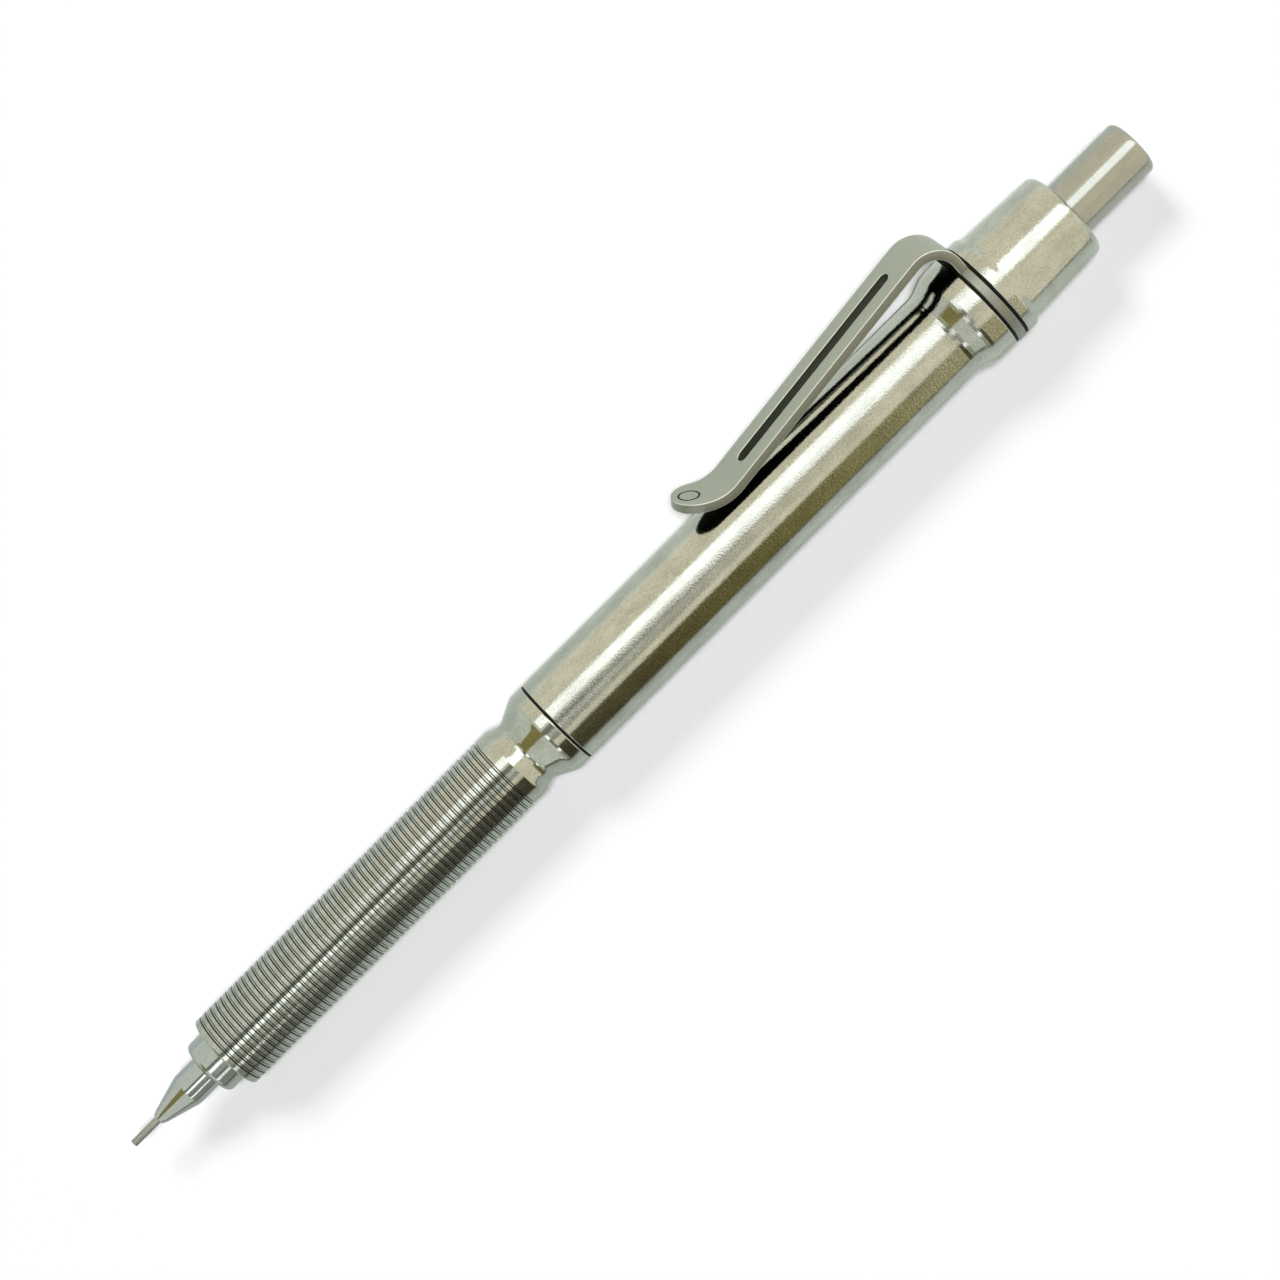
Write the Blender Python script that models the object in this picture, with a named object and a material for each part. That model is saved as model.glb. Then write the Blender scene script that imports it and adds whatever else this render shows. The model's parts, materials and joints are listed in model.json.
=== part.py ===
"""Mechanical pencil: grooved metal grip, plain barrel, pocket clip and push button over a clutch mechanism.

Sizes are in millimetres, and MM turns them into Blender's metres.  A station is a distance along the
pencil from the tip of the lead sleeve.  +X runs from the tip to the button, +Z is up, and the pencil lies
on z = 0 with its clip turned from straight up towards +Y.  Round pieces are polygons whose flats lie on
the stated radius, so the flat under the rear cap's rim rests on z = 0.
"""

import math

import bmesh
import bpy
from mathutils import Matrix

MM = 0.001

# Driving dimensions
LENGTH = 141.4  # sleeve tip to button end
OUTER_SIDES = 24
INNER_SIDES = 16
LEAD_SIDES = 8
RUNNING_GAP = 0.1  # radial gap of a spigot or slider in its bore
SEAT_GAP = 0.05  # axial gap between pieces that are screwed up against each other

LEAD_RADIUS = 0.25
SLEEVE_RADIUS = 0.4
SLEEVE_BORE = 0.3
SLEEVE_EDGE = 0.07

CONE_FRONT = 3.5
CONE_FRONT_RADIUS = 0.6
CONE_SHOULDER = 4.0
CONE_SHOULDER_RADIUS = 0.84
CONE_BACK = 7.65
NOSE_RADIUS = 1.875
COLLAR_FRONT = 10.6
COLLAR_RADIUS = 3.15
COLLAR_EDGE = 0.6
NOSE_SHANK_RADIUS = 2.9
NOSE_SHANK_LENGTH = 4.0

RIM_EDGE = 0.12  # the broken edge of the tubes' ends and the rear cap's rim
GRIP_FRONT = 13.05
GRIP_FRONT_EDGE = 0.4
GRIP_RADIUS = 4.3
GROOVES_BACK = 54.0
GRIP_BACK = 60.0
WAIST_STATION = 55.7
WAIST_LENGTH = 0.6
WAIST_RADIUS = 3.825
BULGE_STATION = 59.0
BULGE_RADIUS = 5.03
MECHANISM_BORE = 2.55  # through the nose shank and the grip

BARREL_FRONT = 60.3
BARREL_BACK = 119.3
BARREL_RADIUS = 5.025
BARREL_BORE = 4.0
FLARE_FRONT = 114.4
FLARE_BACK = 117.4
FLARE_RADIUS = 5.82
SPIGOT_RADIUS = BARREL_BORE - RUNNING_GAP
SPIGOT_LENGTH = 8.0

CLIP_RING_FRONT = 119.62
CLIP_RING_RADIUS = 5.75
SHEET = 1.0  # thickness of the clip's sheet
WASHER_RADIUS = 5.7
GRIP_WASHER_RADIUS = 4.85
WASHER_SHEET = 0.22

CAP_FRONT = 120.92
CAP_RIM_BACK = 121.9
CAP_RIM_RADIUS = 5.85
CAP_NECK_STATION = 123.0
CAP_NECK_RADIUS = 5.45
CAP_BACK = 132.0
CAP_BACK_RADIUS = 5.12
CAP_EDGE = 0.9

BUTTON_RADIUS = 3.125
BUTTON_EDGE = 0.65
BUTTON_BORE = 2.65
BUTTON_FRONT = 120.0
BUTTON_END_WALL = 2.0

CLIP_TURN = math.radians(58)  # from straight up towards +Y
CLIP_WIDTH = 5.3
CLIP_BEND = 3.0  # radius of the rear bend, at the middle of the sheet
CLIP_BEND_HEIGHT = 6.4  # height of the bend's centre over the pencil's axis
CLIP_SLOPE = math.radians(7.5)
CLIP_KNEE = 89.6
CLIP_KNEE_BEND = 5.0
CLIP_PAD_RISE = math.radians(33)
CLIP_PAD_LENGTH = 3.1
CLIP_SPLIT = 6.25  # height where the springy arm leaves the ring's tab
CLIP_SPLIT_GAP = 0.1
SLOT_FRONT = 91.4
SLOT_BACK = 114.6
SLOT_WIDTH = 1.55

# The clutch mechanism, front to back
RETAINER_FRONT = 7.15
RETAINER_LENGTH = 1.2
CHAMBER_RADIUS = 1.55
CHAMBER_BACK = 12.6
GUIDE_FRONT = 13.1
GUIDE_BACK = 32.0
GUIDE_RADIUS = 2.45
GUIDE_BORE = 2.1
GUIDE_SHOULDER = (15.45, 17.5)
CLUTCH_RING = (13.55, 15.4)
CHUCK_FRONT = 13.0
CHUCK_HEAD_RADIUS = 1.4
CHUCK_HEAD_BACK = 13.4
CHUCK_EDGE = 0.15
CHUCK_SHANK_RADIUS = 0.95
CHUCK_TAIL_RADIUS = 1.2
CHUCK_TAIL = (22.0, 30.0)
CHUCK_SLOT_BACK = 21.0
CHUCK_SLOT_WIDTH = 0.2
SPRING = (17.6, 27.95)
SPRING_COIL_RADIUS = 1.62
SPRING_WIRE = 0.3
SPRING_TURNS = 9
COUPLER = (28.05, 34.0)
LEAD_PASSAGE = 0.8
RESERVOIR = (31.05, 128.0)
RESERVOIR_RADIUS = 1.9
RESERVOIR_BORE = 1.5
HOLDER = (118.0, 133.0)
HOLDER_RADIUS = 2.55
HOLDER_FLOOR = 0.6
ERASER = (129.05, 138.5)
ERASER_RADIUS = 2.2
ERASER_EDGE = 0.3
WRITING_LEAD = (0.3, 55.0)
SPARE_LEAD = (60.0, 120.0)
SPARE_LEADS = 3
SPARE_LEAD_CIRCLE = 0.8

# The pencil's axis in the row frame: the rear cap's rim rests on z = 0, and the box is centred on y = 0
AXIS_Z = CAP_RIM_RADIUS
CLIP_TOP = CLIP_BEND_HEIGHT + CLIP_BEND + SHEET / 2
CLIP_REACH = CLIP_TOP * math.sin(CLIP_TURN) + CLIP_WIDTH / 2 * math.cos(CLIP_TURN)
AXIS_Y = (CAP_RIM_RADIUS - CLIP_REACH) / 2

STEEL = ((0.60, 0.59, 0.56), 0.32, 1.0)
BRIGHT_STEEL = ((0.64, 0.65, 0.66), 0.18, 1.0)
BRASS = ((0.72, 0.53, 0.26), 0.3, 1.0)
SPRING_STEEL = ((0.45, 0.45, 0.46), 0.35, 1.0)
BLACK_PLASTIC = ((0.02, 0.02, 0.022), 0.45, 0.0)
CLEAR_PLASTIC = ((0.75, 0.77, 0.78), 0.3, 0.0)
RUBBER = ((0.03, 0.03, 0.03), 0.8, 0.0)
ERASER_RUBBER = ((0.86, 0.85, 0.82), 0.85, 0.0)
GRAPHITE = ((0.05, 0.05, 0.055), 0.5, 0.2)


def clear_scene():
    """Removes the objects of the scene the script starts in."""
    for item in list(bpy.data.objects):
        bpy.data.objects.remove(item, do_unlink=True)


def finish(name):
    """A material with the colour, roughness and metallic value of a named finish."""
    colour, roughness, metallic = FINISHES[name]
    material = bpy.data.materials.get(name) or bpy.data.materials.new(name)
    material.use_nodes = True
    shader = material.node_tree.nodes["Principled BSDF"]
    shader.inputs["Base Color"].default_value = (*colour, 1.0)
    shader.inputs["Roughness"].default_value = roughness
    shader.inputs["Metallic"].default_value = metallic
    return material


FINISHES = {
    "steel": STEEL,
    "bright_steel": BRIGHT_STEEL,
    "brass": BRASS,
    "spring_steel": SPRING_STEEL,
    "black_plastic": BLACK_PLASTIC,
    "clear_plastic": CLEAR_PLASTIC,
    "rubber": RUBBER,
    "eraser_rubber": ERASER_RUBBER,
    "graphite": GRAPHITE,
}


def add_object(name, bm, finish_name, station=0.0, height=0.0, turn=0.0):
    """Turns a bmesh in millimetres into an object whose origin is at a station and a height over the axis.

    The mesh's own x is a station and its y and z are measured from the pencil's axis, before the object is
    turned about that axis.  height is along the turned z.
    """
    bmesh.ops.recalc_face_normals(bm, faces=bm.faces)
    bmesh.ops.translate(bm, verts=bm.verts, vec=(-station, 0, -height))
    bmesh.ops.scale(bm, verts=bm.verts, vec=(MM, MM, MM))
    mesh = bpy.data.meshes.new(name)
    bm.to_mesh(mesh)
    bm.free()
    mesh.shade_smooth()
    mesh.set_sharp_from_angle(angle=math.radians(30))
    item = bpy.data.objects.new(name, mesh)
    bpy.context.collection.objects.link(item)
    item.rotation_euler = (-turn, 0, 0)
    item.location = (
        (station - LENGTH / 2) * MM,
        (AXIS_Y + height * math.sin(turn)) * MM,
        (AXIS_Z + height * math.cos(turn)) * MM,
    )
    if finish_name:
        mesh.materials.append(finish(finish_name))
    return item


def add_cutter(name, bm, target, operation="DIFFERENCE", **place):
    """Adds a hidden shape and lets it cut, or join, the target."""
    cutter = add_object(name, bm, None, **place)
    cutter.hide_render = True
    cutter.display_type = "WIRE"
    modifier = target.modifiers.new(name, "BOOLEAN")
    modifier.operation = operation
    modifier.solver = "EXACT"
    modifier.object = cutter


def turned_mesh(profile, sides, closed):
    """Spins (station, radius) points about the axis; a closed profile is a ring, an open one is a solid rod."""
    bm = bmesh.new()
    out = 1 / math.cos(math.pi / sides)
    start = Matrix.Rotation(math.pi / sides, 4, "X")
    verts = [bm.verts.new(start @ Matrix.Translation((s, 0, r * out)).translation) for s, r in profile]
    edges = [bm.edges.new(pair) for pair in zip(verts, verts[1:])]
    if closed:
        edges.append(bm.edges.new((verts[-1], verts[0])))
    bmesh.ops.spin(
        bm,
        geom=verts + edges,
        axis=(1, 0, 0),
        cent=(0, 0, 0),
        angle=2 * math.pi,
        steps=sides,
        use_merge=True,
    )
    bmesh.ops.remove_doubles(bm, verts=bm.verts, dist=0.0001)
    if not closed:
        rims = [edge for edge in bm.edges if len(edge.link_faces) == 1]
        bmesh.ops.holes_fill(bm, edges=rims, sides=sides)
    return bm


def turned(name, profile, finish_name, sides=OUTER_SIDES, closed=True, station=0.0):
    """A turned piece made from its outline."""
    return add_object(name, turned_mesh(profile, sides, closed), finish_name, station=station)


def tube_profile(front, back, outer, inner):
    """Outline of a plain tube or washer."""
    return [(front, outer), (back, outer), (back, inner), (front, inner)]


def rounded_edge(station, radius, edge, back, steps=3):
    """Points round an outer edge of a turned piece, in order of growing station.

    station is the face that the edge runs into: the piece's back face if back is set, else its front one.
    """
    points = []
    for step in range(steps + 1):
        angle = math.pi / 2 * step / steps
        if back:
            points.append((station - edge + edge * math.sin(angle), radius - edge + edge * math.cos(angle)))
        else:
            points.append((station + edge - edge * math.cos(angle), radius - edge + edge * math.sin(angle)))
    return points


def eased(front, back, first, last, steps):
    """Points of a smooth S between two radii."""
    points = []
    for step in range(steps + 1):
        part = step / steps
        blend = part * part * (3 - 2 * part)
        points.append((front + (back - front) * part, first + (last - first) * blend))
    return points


def box_mesh(low, high):
    """A block between two corners, in millimetres."""
    bm = bmesh.new()
    bmesh.ops.create_cube(bm, size=1)
    size = [high[k] - low[k] for k in range(3)]
    middle = [(high[k] + low[k]) / 2 for k in range(3)]
    bmesh.ops.scale(bm, verts=bm.verts, vec=size)
    bmesh.ops.translate(bm, verts=bm.verts, vec=middle)
    return bm


def make_nose():
    """The sleeve the lead comes out of, the stepped nose cone that screws into the grip, and its retainer."""
    turned(
        "lead_sleeve",
        [
            (0.0, SLEEVE_RADIUS - SLEEVE_EDGE),
            (0.1, SLEEVE_RADIUS),
            (RETAINER_FRONT - 3 * SEAT_GAP, SLEEVE_RADIUS),
            (RETAINER_FRONT - 3 * SEAT_GAP, SLEEVE_BORE),
            (0.0, SLEEVE_BORE),
        ],
        "bright_steel",
        INNER_SIDES,
    )
    retainer_radius = 1.0
    turned(
        "lead_retainer",
        tube_profile(RETAINER_FRONT, RETAINER_FRONT + RETAINER_LENGTH, retainer_radius, LEAD_RADIUS + 0.03),
        "rubber",
        INNER_SIDES,
    )
    sleeve_hole = SLEEVE_RADIUS + SEAT_GAP
    retainer_room = retainer_radius + SEAT_GAP
    shank_back = GRIP_FRONT + NOSE_SHANK_LENGTH
    outside = [
        (CONE_FRONT, CONE_FRONT_RADIUS),
        (CONE_SHOULDER, CONE_SHOULDER_RADIUS),
        (CONE_BACK, NOSE_RADIUS),
        (COLLAR_FRONT, NOSE_RADIUS),
    ]
    outside += rounded_edge(COLLAR_FRONT, COLLAR_RADIUS, COLLAR_EDGE, back=False)
    outside += [
        (GRIP_FRONT - SEAT_GAP, COLLAR_RADIUS),
        (GRIP_FRONT - SEAT_GAP, NOSE_SHANK_RADIUS),
        (shank_back, NOSE_SHANK_RADIUS),
    ]
    inside = [
        (shank_back, MECHANISM_BORE),
        (CHAMBER_BACK, MECHANISM_BORE),
        (CHAMBER_BACK, CHAMBER_RADIUS),
        (RETAINER_FRONT + RETAINER_LENGTH + SEAT_GAP, CHAMBER_RADIUS),
        (RETAINER_FRONT + RETAINER_LENGTH + SEAT_GAP, retainer_room),
        (RETAINER_FRONT - SEAT_GAP, retainer_room),
        (RETAINER_FRONT - SEAT_GAP, sleeve_hole),
        (CONE_FRONT, sleeve_hole),
    ]
    turned("nose_cone", outside + inside, "bright_steel")


def make_grip():
    """The grip tube with its waist and flared back, and the black washer behind it."""
    nose_socket = NOSE_SHANK_RADIUS + RUNNING_GAP
    socket_back = GRIP_FRONT + NOSE_SHANK_LENGTH + SEAT_GAP
    spigot_back = BARREL_FRONT + SPIGOT_LENGTH
    outside = rounded_edge(GRIP_FRONT, GRIP_RADIUS, GRIP_FRONT_EDGE, back=False, steps=2)
    outside += eased(GROOVES_BACK, WAIST_STATION - WAIST_LENGTH / 2, GRIP_RADIUS, WAIST_RADIUS, 3)
    outside += eased(WAIST_STATION + WAIST_LENGTH / 2, BULGE_STATION, WAIST_RADIUS, BULGE_RADIUS, 5)
    outside += rounded_edge(GRIP_BACK, BULGE_RADIUS, RIM_EDGE, back=True, steps=1)
    outside += [(GRIP_BACK, SPIGOT_RADIUS), (spigot_back, SPIGOT_RADIUS)]
    inside = [
        (spigot_back, MECHANISM_BORE),
        (socket_back, MECHANISM_BORE),
        (socket_back, nose_socket),
        (GRIP_FRONT, nose_socket),
    ]
    turned("grip_section", outside + inside, "steel")
    turned(
        "grip_washer",
        tube_profile(
            GRIP_BACK + SEAT_GAP, BARREL_FRONT - SEAT_GAP, GRIP_WASHER_RADIUS, SPIGOT_RADIUS + SEAT_GAP
        ),
        "black_plastic",
    )


def make_barrel():
    """The barrel tube, which swells smoothly to the diameter of the clip's ring."""
    outside = rounded_edge(BARREL_FRONT, BARREL_RADIUS, RIM_EDGE, back=False, steps=1)
    outside += eased(FLARE_FRONT, FLARE_BACK, BARREL_RADIUS, FLARE_RADIUS, 6)
    outside += rounded_edge(BARREL_BACK, FLARE_RADIUS, RIM_EDGE, back=True, steps=1)
    turned("barrel", outside + [(BARREL_BACK, BARREL_BORE), (BARREL_FRONT, BARREL_BORE)], "steel")


def make_rear_cap():
    """The rear cap, whose long spigot clamps the clip's ring against the barrel between two washers."""
    washer_fronts = {
        "clip_washer_front": BARREL_BACK + SEAT_GAP,
        "clip_washer_rear": CLIP_RING_FRONT + SHEET + SEAT_GAP / 2,
    }
    for name, front in washer_fronts.items():
        turned(name, tube_profile(front, front + WASHER_SHEET, WASHER_RADIUS, BARREL_BORE), "black_plastic")
    slider_bore = BUTTON_RADIUS + RUNNING_GAP
    spigot_front = BARREL_BACK - SPIGOT_LENGTH
    outside = [(spigot_front, SPIGOT_RADIUS), (CAP_FRONT, SPIGOT_RADIUS)]
    outside += rounded_edge(CAP_FRONT, CAP_RIM_RADIUS, RIM_EDGE, back=False, steps=1)
    outside += eased(CAP_RIM_BACK, CAP_NECK_STATION, CAP_RIM_RADIUS, CAP_NECK_RADIUS, 3)
    outside += rounded_edge(CAP_BACK, CAP_BACK_RADIUS, CAP_EDGE, back=True)
    turned("rear_cap", outside + [(CAP_BACK, slider_bore), (spigot_front, slider_bore)], "steel")


def bend_points(start, heading, new_heading, radius, steps):
    """Points of a bend in the clip's sheet after its start, as (station, height, heading).

    A heading is the climb of the sheet on its way towards the tip.  A sheet that turns down bends about a
    centre on the pencil's side, and one that turns up bends about a centre outside.
    """
    side = 1 if new_heading < heading else -1
    centre = [start[k] - side * radius * outward(heading)[k] for k in range(2)]
    points = []
    for step in range(1, steps + 1):
        now = heading + (new_heading - heading) * step / steps
        normal = outward(now)
        points.append((centre[0] + side * radius * normal[0], centre[1] + side * radius * normal[1], now))
    return points


def outward(heading):
    """The direction, in station and height, from the sheet away from the pencil."""
    return math.sin(heading), math.cos(heading)


def clip_path():
    """The middle line of the clip's springy arm, from the ring's tab to the end of the pad."""
    up = math.pi / 2
    ring_middle = CLIP_RING_FRONT + SHEET / 2
    path = [(ring_middle, CLIP_SPLIT + CLIP_SPLIT_GAP / 2, up), (ring_middle, CLIP_BEND_HEIGHT, up)]
    path += bend_points(path[-1], up, 0.0, CLIP_BEND, 6)
    path += bend_points(path[-1], 0.0, -CLIP_SLOPE, CLIP_BEND, 1)
    station, height, _ = path[-1]
    path.append((CLIP_KNEE, height - (station - CLIP_KNEE) * math.tan(CLIP_SLOPE), -CLIP_SLOPE))
    path += bend_points(path[-1], -CLIP_SLOPE, CLIP_PAD_RISE, CLIP_KNEE_BEND, 4)
    return path


def strip_section(bm, station, height, heading, half_width):
    """Four corners across the sheet."""
    normal = outward(heading)
    corners = []
    for side, across in ((1, 1), (1, -1), (-1, -1), (-1, 1)):
        offset = side * SHEET / 2
        corners.append(
            bm.verts.new((station + offset * normal[0], across * half_width, height + offset * normal[1]))
        )
    return corners


def make_clip():
    """The clip: a ring with a short tab, and the springy arm that bends over and ends in a round pad."""
    ring = tube_profile(CLIP_RING_FRONT, CLIP_RING_FRONT + SHEET, CLIP_RING_RADIUS, BARREL_BORE)
    ring_object = add_object("clip_ring", turned_mesh(ring, OUTER_SIDES, True), "steel", turn=CLIP_TURN)
    tab = box_mesh(
        (CLIP_RING_FRONT, -CLIP_WIDTH / 2, CLIP_RING_RADIUS - 1),
        (CLIP_RING_FRONT + SHEET, CLIP_WIDTH / 2, CLIP_SPLIT - CLIP_SPLIT_GAP / 2),
    )
    add_cutter("clip_tab_shape", tab, ring_object, "UNION", turn=CLIP_TURN)

    bm = bmesh.new()
    path = clip_path()
    sections = [strip_section(bm, *point, CLIP_WIDTH / 2) for point in path]
    station, height, heading = path[-1]
    end_radius = CLIP_WIDTH / 2
    straight = CLIP_PAD_LENGTH - end_radius
    round_steps = 5
    for step in range(round_steps):
        angle = math.radians(80) * step / (round_steps - 1)
        run = straight + end_radius * math.sin(angle)
        place = (station - run * math.cos(heading), height + run * math.sin(heading), heading)
        sections.append(strip_section(bm, *place, end_radius * math.cos(angle)))
    for here, there in zip(sections, sections[1:]):
        for k in range(4):
            bm.faces.new((here[k], here[(k + 1) % 4], there[(k + 1) % 4], there[k]))
    bm.faces.new(sections[0])
    bm.faces.new(sections[-1])
    pivot = {"station": CLIP_RING_FRONT + SHEET / 2, "height": CLIP_SPLIT, "turn": CLIP_TURN}
    arm = add_object("clip_arm", bm, "steel", **pivot)
    add_cutter("clip_slot_shape", slot_mesh(), arm, turn=CLIP_TURN)


def slot_mesh():
    """The long slot with round ends that is pressed out of the clip's arm."""
    bm = bmesh.new()
    radius = SLOT_WIDTH / 2
    outline = []
    for end, first in ((SLOT_BACK - radius, -90), (SLOT_FRONT + radius, 90)):
        for step in range(5):
            angle = math.radians(first + 45 * step)
            outline.append((end + radius * math.cos(angle), radius * math.sin(angle)))
    base = bm.faces.new([bm.verts.new((x, y, BARREL_RADIUS)) for x, y in outline])
    raised = bmesh.ops.extrude_face_region(bm, geom=[base])["geom"]
    tops = [item for item in raised if isinstance(item, bmesh.types.BMVert)]
    bmesh.ops.translate(bm, verts=tops, vec=(0, 0, CLIP_TOP))
    return bm


def make_button():
    """The push button, a cup that slides in the rear cap, with the eraser and its holder inside."""
    outside = [(BUTTON_FRONT, BUTTON_RADIUS)] + rounded_edge(LENGTH, BUTTON_RADIUS, BUTTON_EDGE, back=True)
    bore_back = LENGTH - BUTTON_END_WALL
    button = turned("button", outside, "bright_steel", closed=False, station=BUTTON_FRONT)
    bore = [(BUTTON_FRONT - 1, BUTTON_BORE), (bore_back, BUTTON_BORE)]
    add_cutter("button_bore_shape", turned_mesh(bore, OUTER_SIDES, False), button)

    cup_floor = ERASER[0] - SEAT_GAP
    socket_floor = cup_floor - HOLDER_FLOOR
    turned(
        "eraser_holder",
        [
            (HOLDER[0], HOLDER_RADIUS),
            (HOLDER[1], HOLDER_RADIUS),
            (HOLDER[1], ERASER_RADIUS + SEAT_GAP),
            (cup_floor, ERASER_RADIUS + SEAT_GAP),
            (cup_floor, RESERVOIR_BORE - RUNNING_GAP),
            (socket_floor, RESERVOIR_BORE - RUNNING_GAP),
            (socket_floor, RESERVOIR_RADIUS + RUNNING_GAP),
            (HOLDER[0], RESERVOIR_RADIUS + RUNNING_GAP),
        ],
        "bright_steel",
        INNER_SIDES,
        station=HOLDER[0],
    )
    eraser = [
        (ERASER[0], ERASER_RADIUS),
        (ERASER[1] - ERASER_EDGE, ERASER_RADIUS),
        (ERASER[1], ERASER_RADIUS - ERASER_EDGE),
    ]
    turned("eraser", eraser, "eraser_rubber", INNER_SIDES, closed=False, station=ERASER[0])


def make_clutch():
    """The brass mechanism: guide tube, clutch ring, slotted chuck, coupler and the lead reservoir."""
    shoulder_bore = CHUCK_SHANK_RADIUS + RUNNING_GAP
    turned(
        "guide_tube",
        [
            (GUIDE_FRONT, GUIDE_RADIUS),
            (GUIDE_BACK, GUIDE_RADIUS),
            (GUIDE_BACK, GUIDE_BORE),
            (GUIDE_SHOULDER[1], GUIDE_BORE),
            (GUIDE_SHOULDER[1], shoulder_bore),
            (GUIDE_SHOULDER[0], shoulder_bore),
            (GUIDE_SHOULDER[0], GUIDE_BORE),
            (GUIDE_FRONT, GUIDE_BORE),
        ],
        "brass",
        INNER_SIDES,
    )
    turned(
        "clutch_ring",
        tube_profile(*CLUTCH_RING, GUIDE_BORE - RUNNING_GAP, CHUCK_HEAD_RADIUS + RUNNING_GAP),
        "brass",
        INNER_SIDES,
        station=CLUTCH_RING[0],
    )
    lead_bore = LEAD_RADIUS + SEAT_GAP
    chuck = turned(
        "chuck",
        [
            (CHUCK_FRONT, CHUCK_HEAD_RADIUS - CHUCK_EDGE),
            (CHUCK_FRONT + CHUCK_EDGE, CHUCK_HEAD_RADIUS),
            (CHUCK_HEAD_BACK, CHUCK_HEAD_RADIUS),
            (CLUTCH_RING[1], CHUCK_SHANK_RADIUS),
            (CHUCK_TAIL[0], CHUCK_SHANK_RADIUS),
            (CHUCK_TAIL[0], CHUCK_TAIL_RADIUS),
            (CHUCK_TAIL[1], CHUCK_TAIL_RADIUS),
            (CHUCK_TAIL[1], lead_bore),
            (CHUCK_FRONT, lead_bore),
        ],
        "brass",
        INNER_SIDES,
        station=CHUCK_FRONT,
    )
    for jaw in range(3):
        slot = box_mesh(
            (CHUCK_FRONT - 1, -CHUCK_SLOT_WIDTH / 2, 0),
            (CHUCK_SLOT_BACK, CHUCK_SLOT_WIDTH / 2, CHUCK_HEAD_RADIUS + 1),
        )
        add_cutter(f"chuck_slot_shape_{jaw + 1}", slot, chuck, turn=2 * math.pi * jaw / 3)
    plug_radius = RESERVOIR_BORE - SEAT_GAP
    tail_socket = CHUCK_TAIL[1] + 6 * SEAT_GAP
    turned(
        "chuck_coupler",
        [
            (COUPLER[0], RESERVOIR_RADIUS),
            (RESERVOIR[0] - SEAT_GAP, RESERVOIR_RADIUS),
            (RESERVOIR[0] - SEAT_GAP, plug_radius),
            (COUPLER[1], plug_radius),
            (COUPLER[1], LEAD_PASSAGE),
            (tail_socket, LEAD_PASSAGE),
            (tail_socket, CHUCK_TAIL_RADIUS + SEAT_GAP),
            (COUPLER[0], CHUCK_TAIL_RADIUS + SEAT_GAP),
        ],
        "brass",
        INNER_SIDES,
        station=COUPLER[0],
    )
    turned(
        "reservoir_tube",
        tube_profile(*RESERVOIR, RESERVOIR_RADIUS, RESERVOIR_BORE),
        "clear_plastic",
        INNER_SIDES,
        station=RESERVOIR[0],
    )


def make_spring():
    """The return spring, wound round the chuck between the guide tube's shoulder and the coupler."""
    bm = bmesh.new()
    per_turn = 12
    wire_sides = 4
    count = SPRING_TURNS * per_turn
    wire = SPRING_WIRE / 2
    front = SPRING[0] + wire
    travel = SPRING[1] - SPRING[0] - SPRING_WIRE
    rings = []
    for k in range(count + 1):
        angle = 2 * math.pi * k / per_turn
        station = front + travel * k / count
        ring = []
        for corner in range(wire_sides):
            lean = 2 * math.pi * corner / wire_sides
            radius = SPRING_COIL_RADIUS + wire * math.cos(lean)
            along = station + wire * math.sin(lean)
            ring.append(bm.verts.new((along, radius * math.sin(angle), radius * math.cos(angle))))
        rings.append(ring)
    for here, there in zip(rings, rings[1:]):
        for k in range(wire_sides):
            bm.faces.new((here[k], here[(k + 1) % wire_sides], there[(k + 1) % wire_sides], there[k]))
    bm.faces.new(rings[0])
    bm.faces.new(rings[-1])
    add_object("return_spring", bm, "spring_steel", station=SPRING[0])


def make_leads():
    """The lead that writes, and the spare leads in the reservoir."""
    rod = [(WRITING_LEAD[0], LEAD_RADIUS), (WRITING_LEAD[1], LEAD_RADIUS)]
    turned("writing_lead", rod, "graphite", LEAD_SIDES, closed=False, station=WRITING_LEAD[0])
    for k in range(SPARE_LEADS):
        angle = 2 * math.pi * k / SPARE_LEADS
        bm = turned_mesh([(SPARE_LEAD[0], LEAD_RADIUS), (SPARE_LEAD[1], LEAD_RADIUS)], LEAD_SIDES, False)
        shift = (0, SPARE_LEAD_CIRCLE * math.sin(angle), SPARE_LEAD_CIRCLE * math.cos(angle))
        bmesh.ops.translate(bm, verts=bm.verts, vec=shift)
        add_object(f"spare_lead_{k + 1}", bm, "graphite", station=SPARE_LEAD[0])


clear_scene()
make_nose()
make_grip()
make_barrel()
make_rear_cap()
make_clip()
make_button()
make_clutch()
make_spring()
make_leads()
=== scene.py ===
"""The looks of a metal mechanical pencil that lies on a pale table.

Sizes are in millimetres and a station is a distance along the pencil from the tip of its lead sleeve, as
on the maker's drawing.  Each section below is one piece, or a group of like pieces, in the order in which
the pencil goes together.
"""

import json
import math

import bmesh
import bpy
from mathutils import Matrix, Vector


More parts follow.
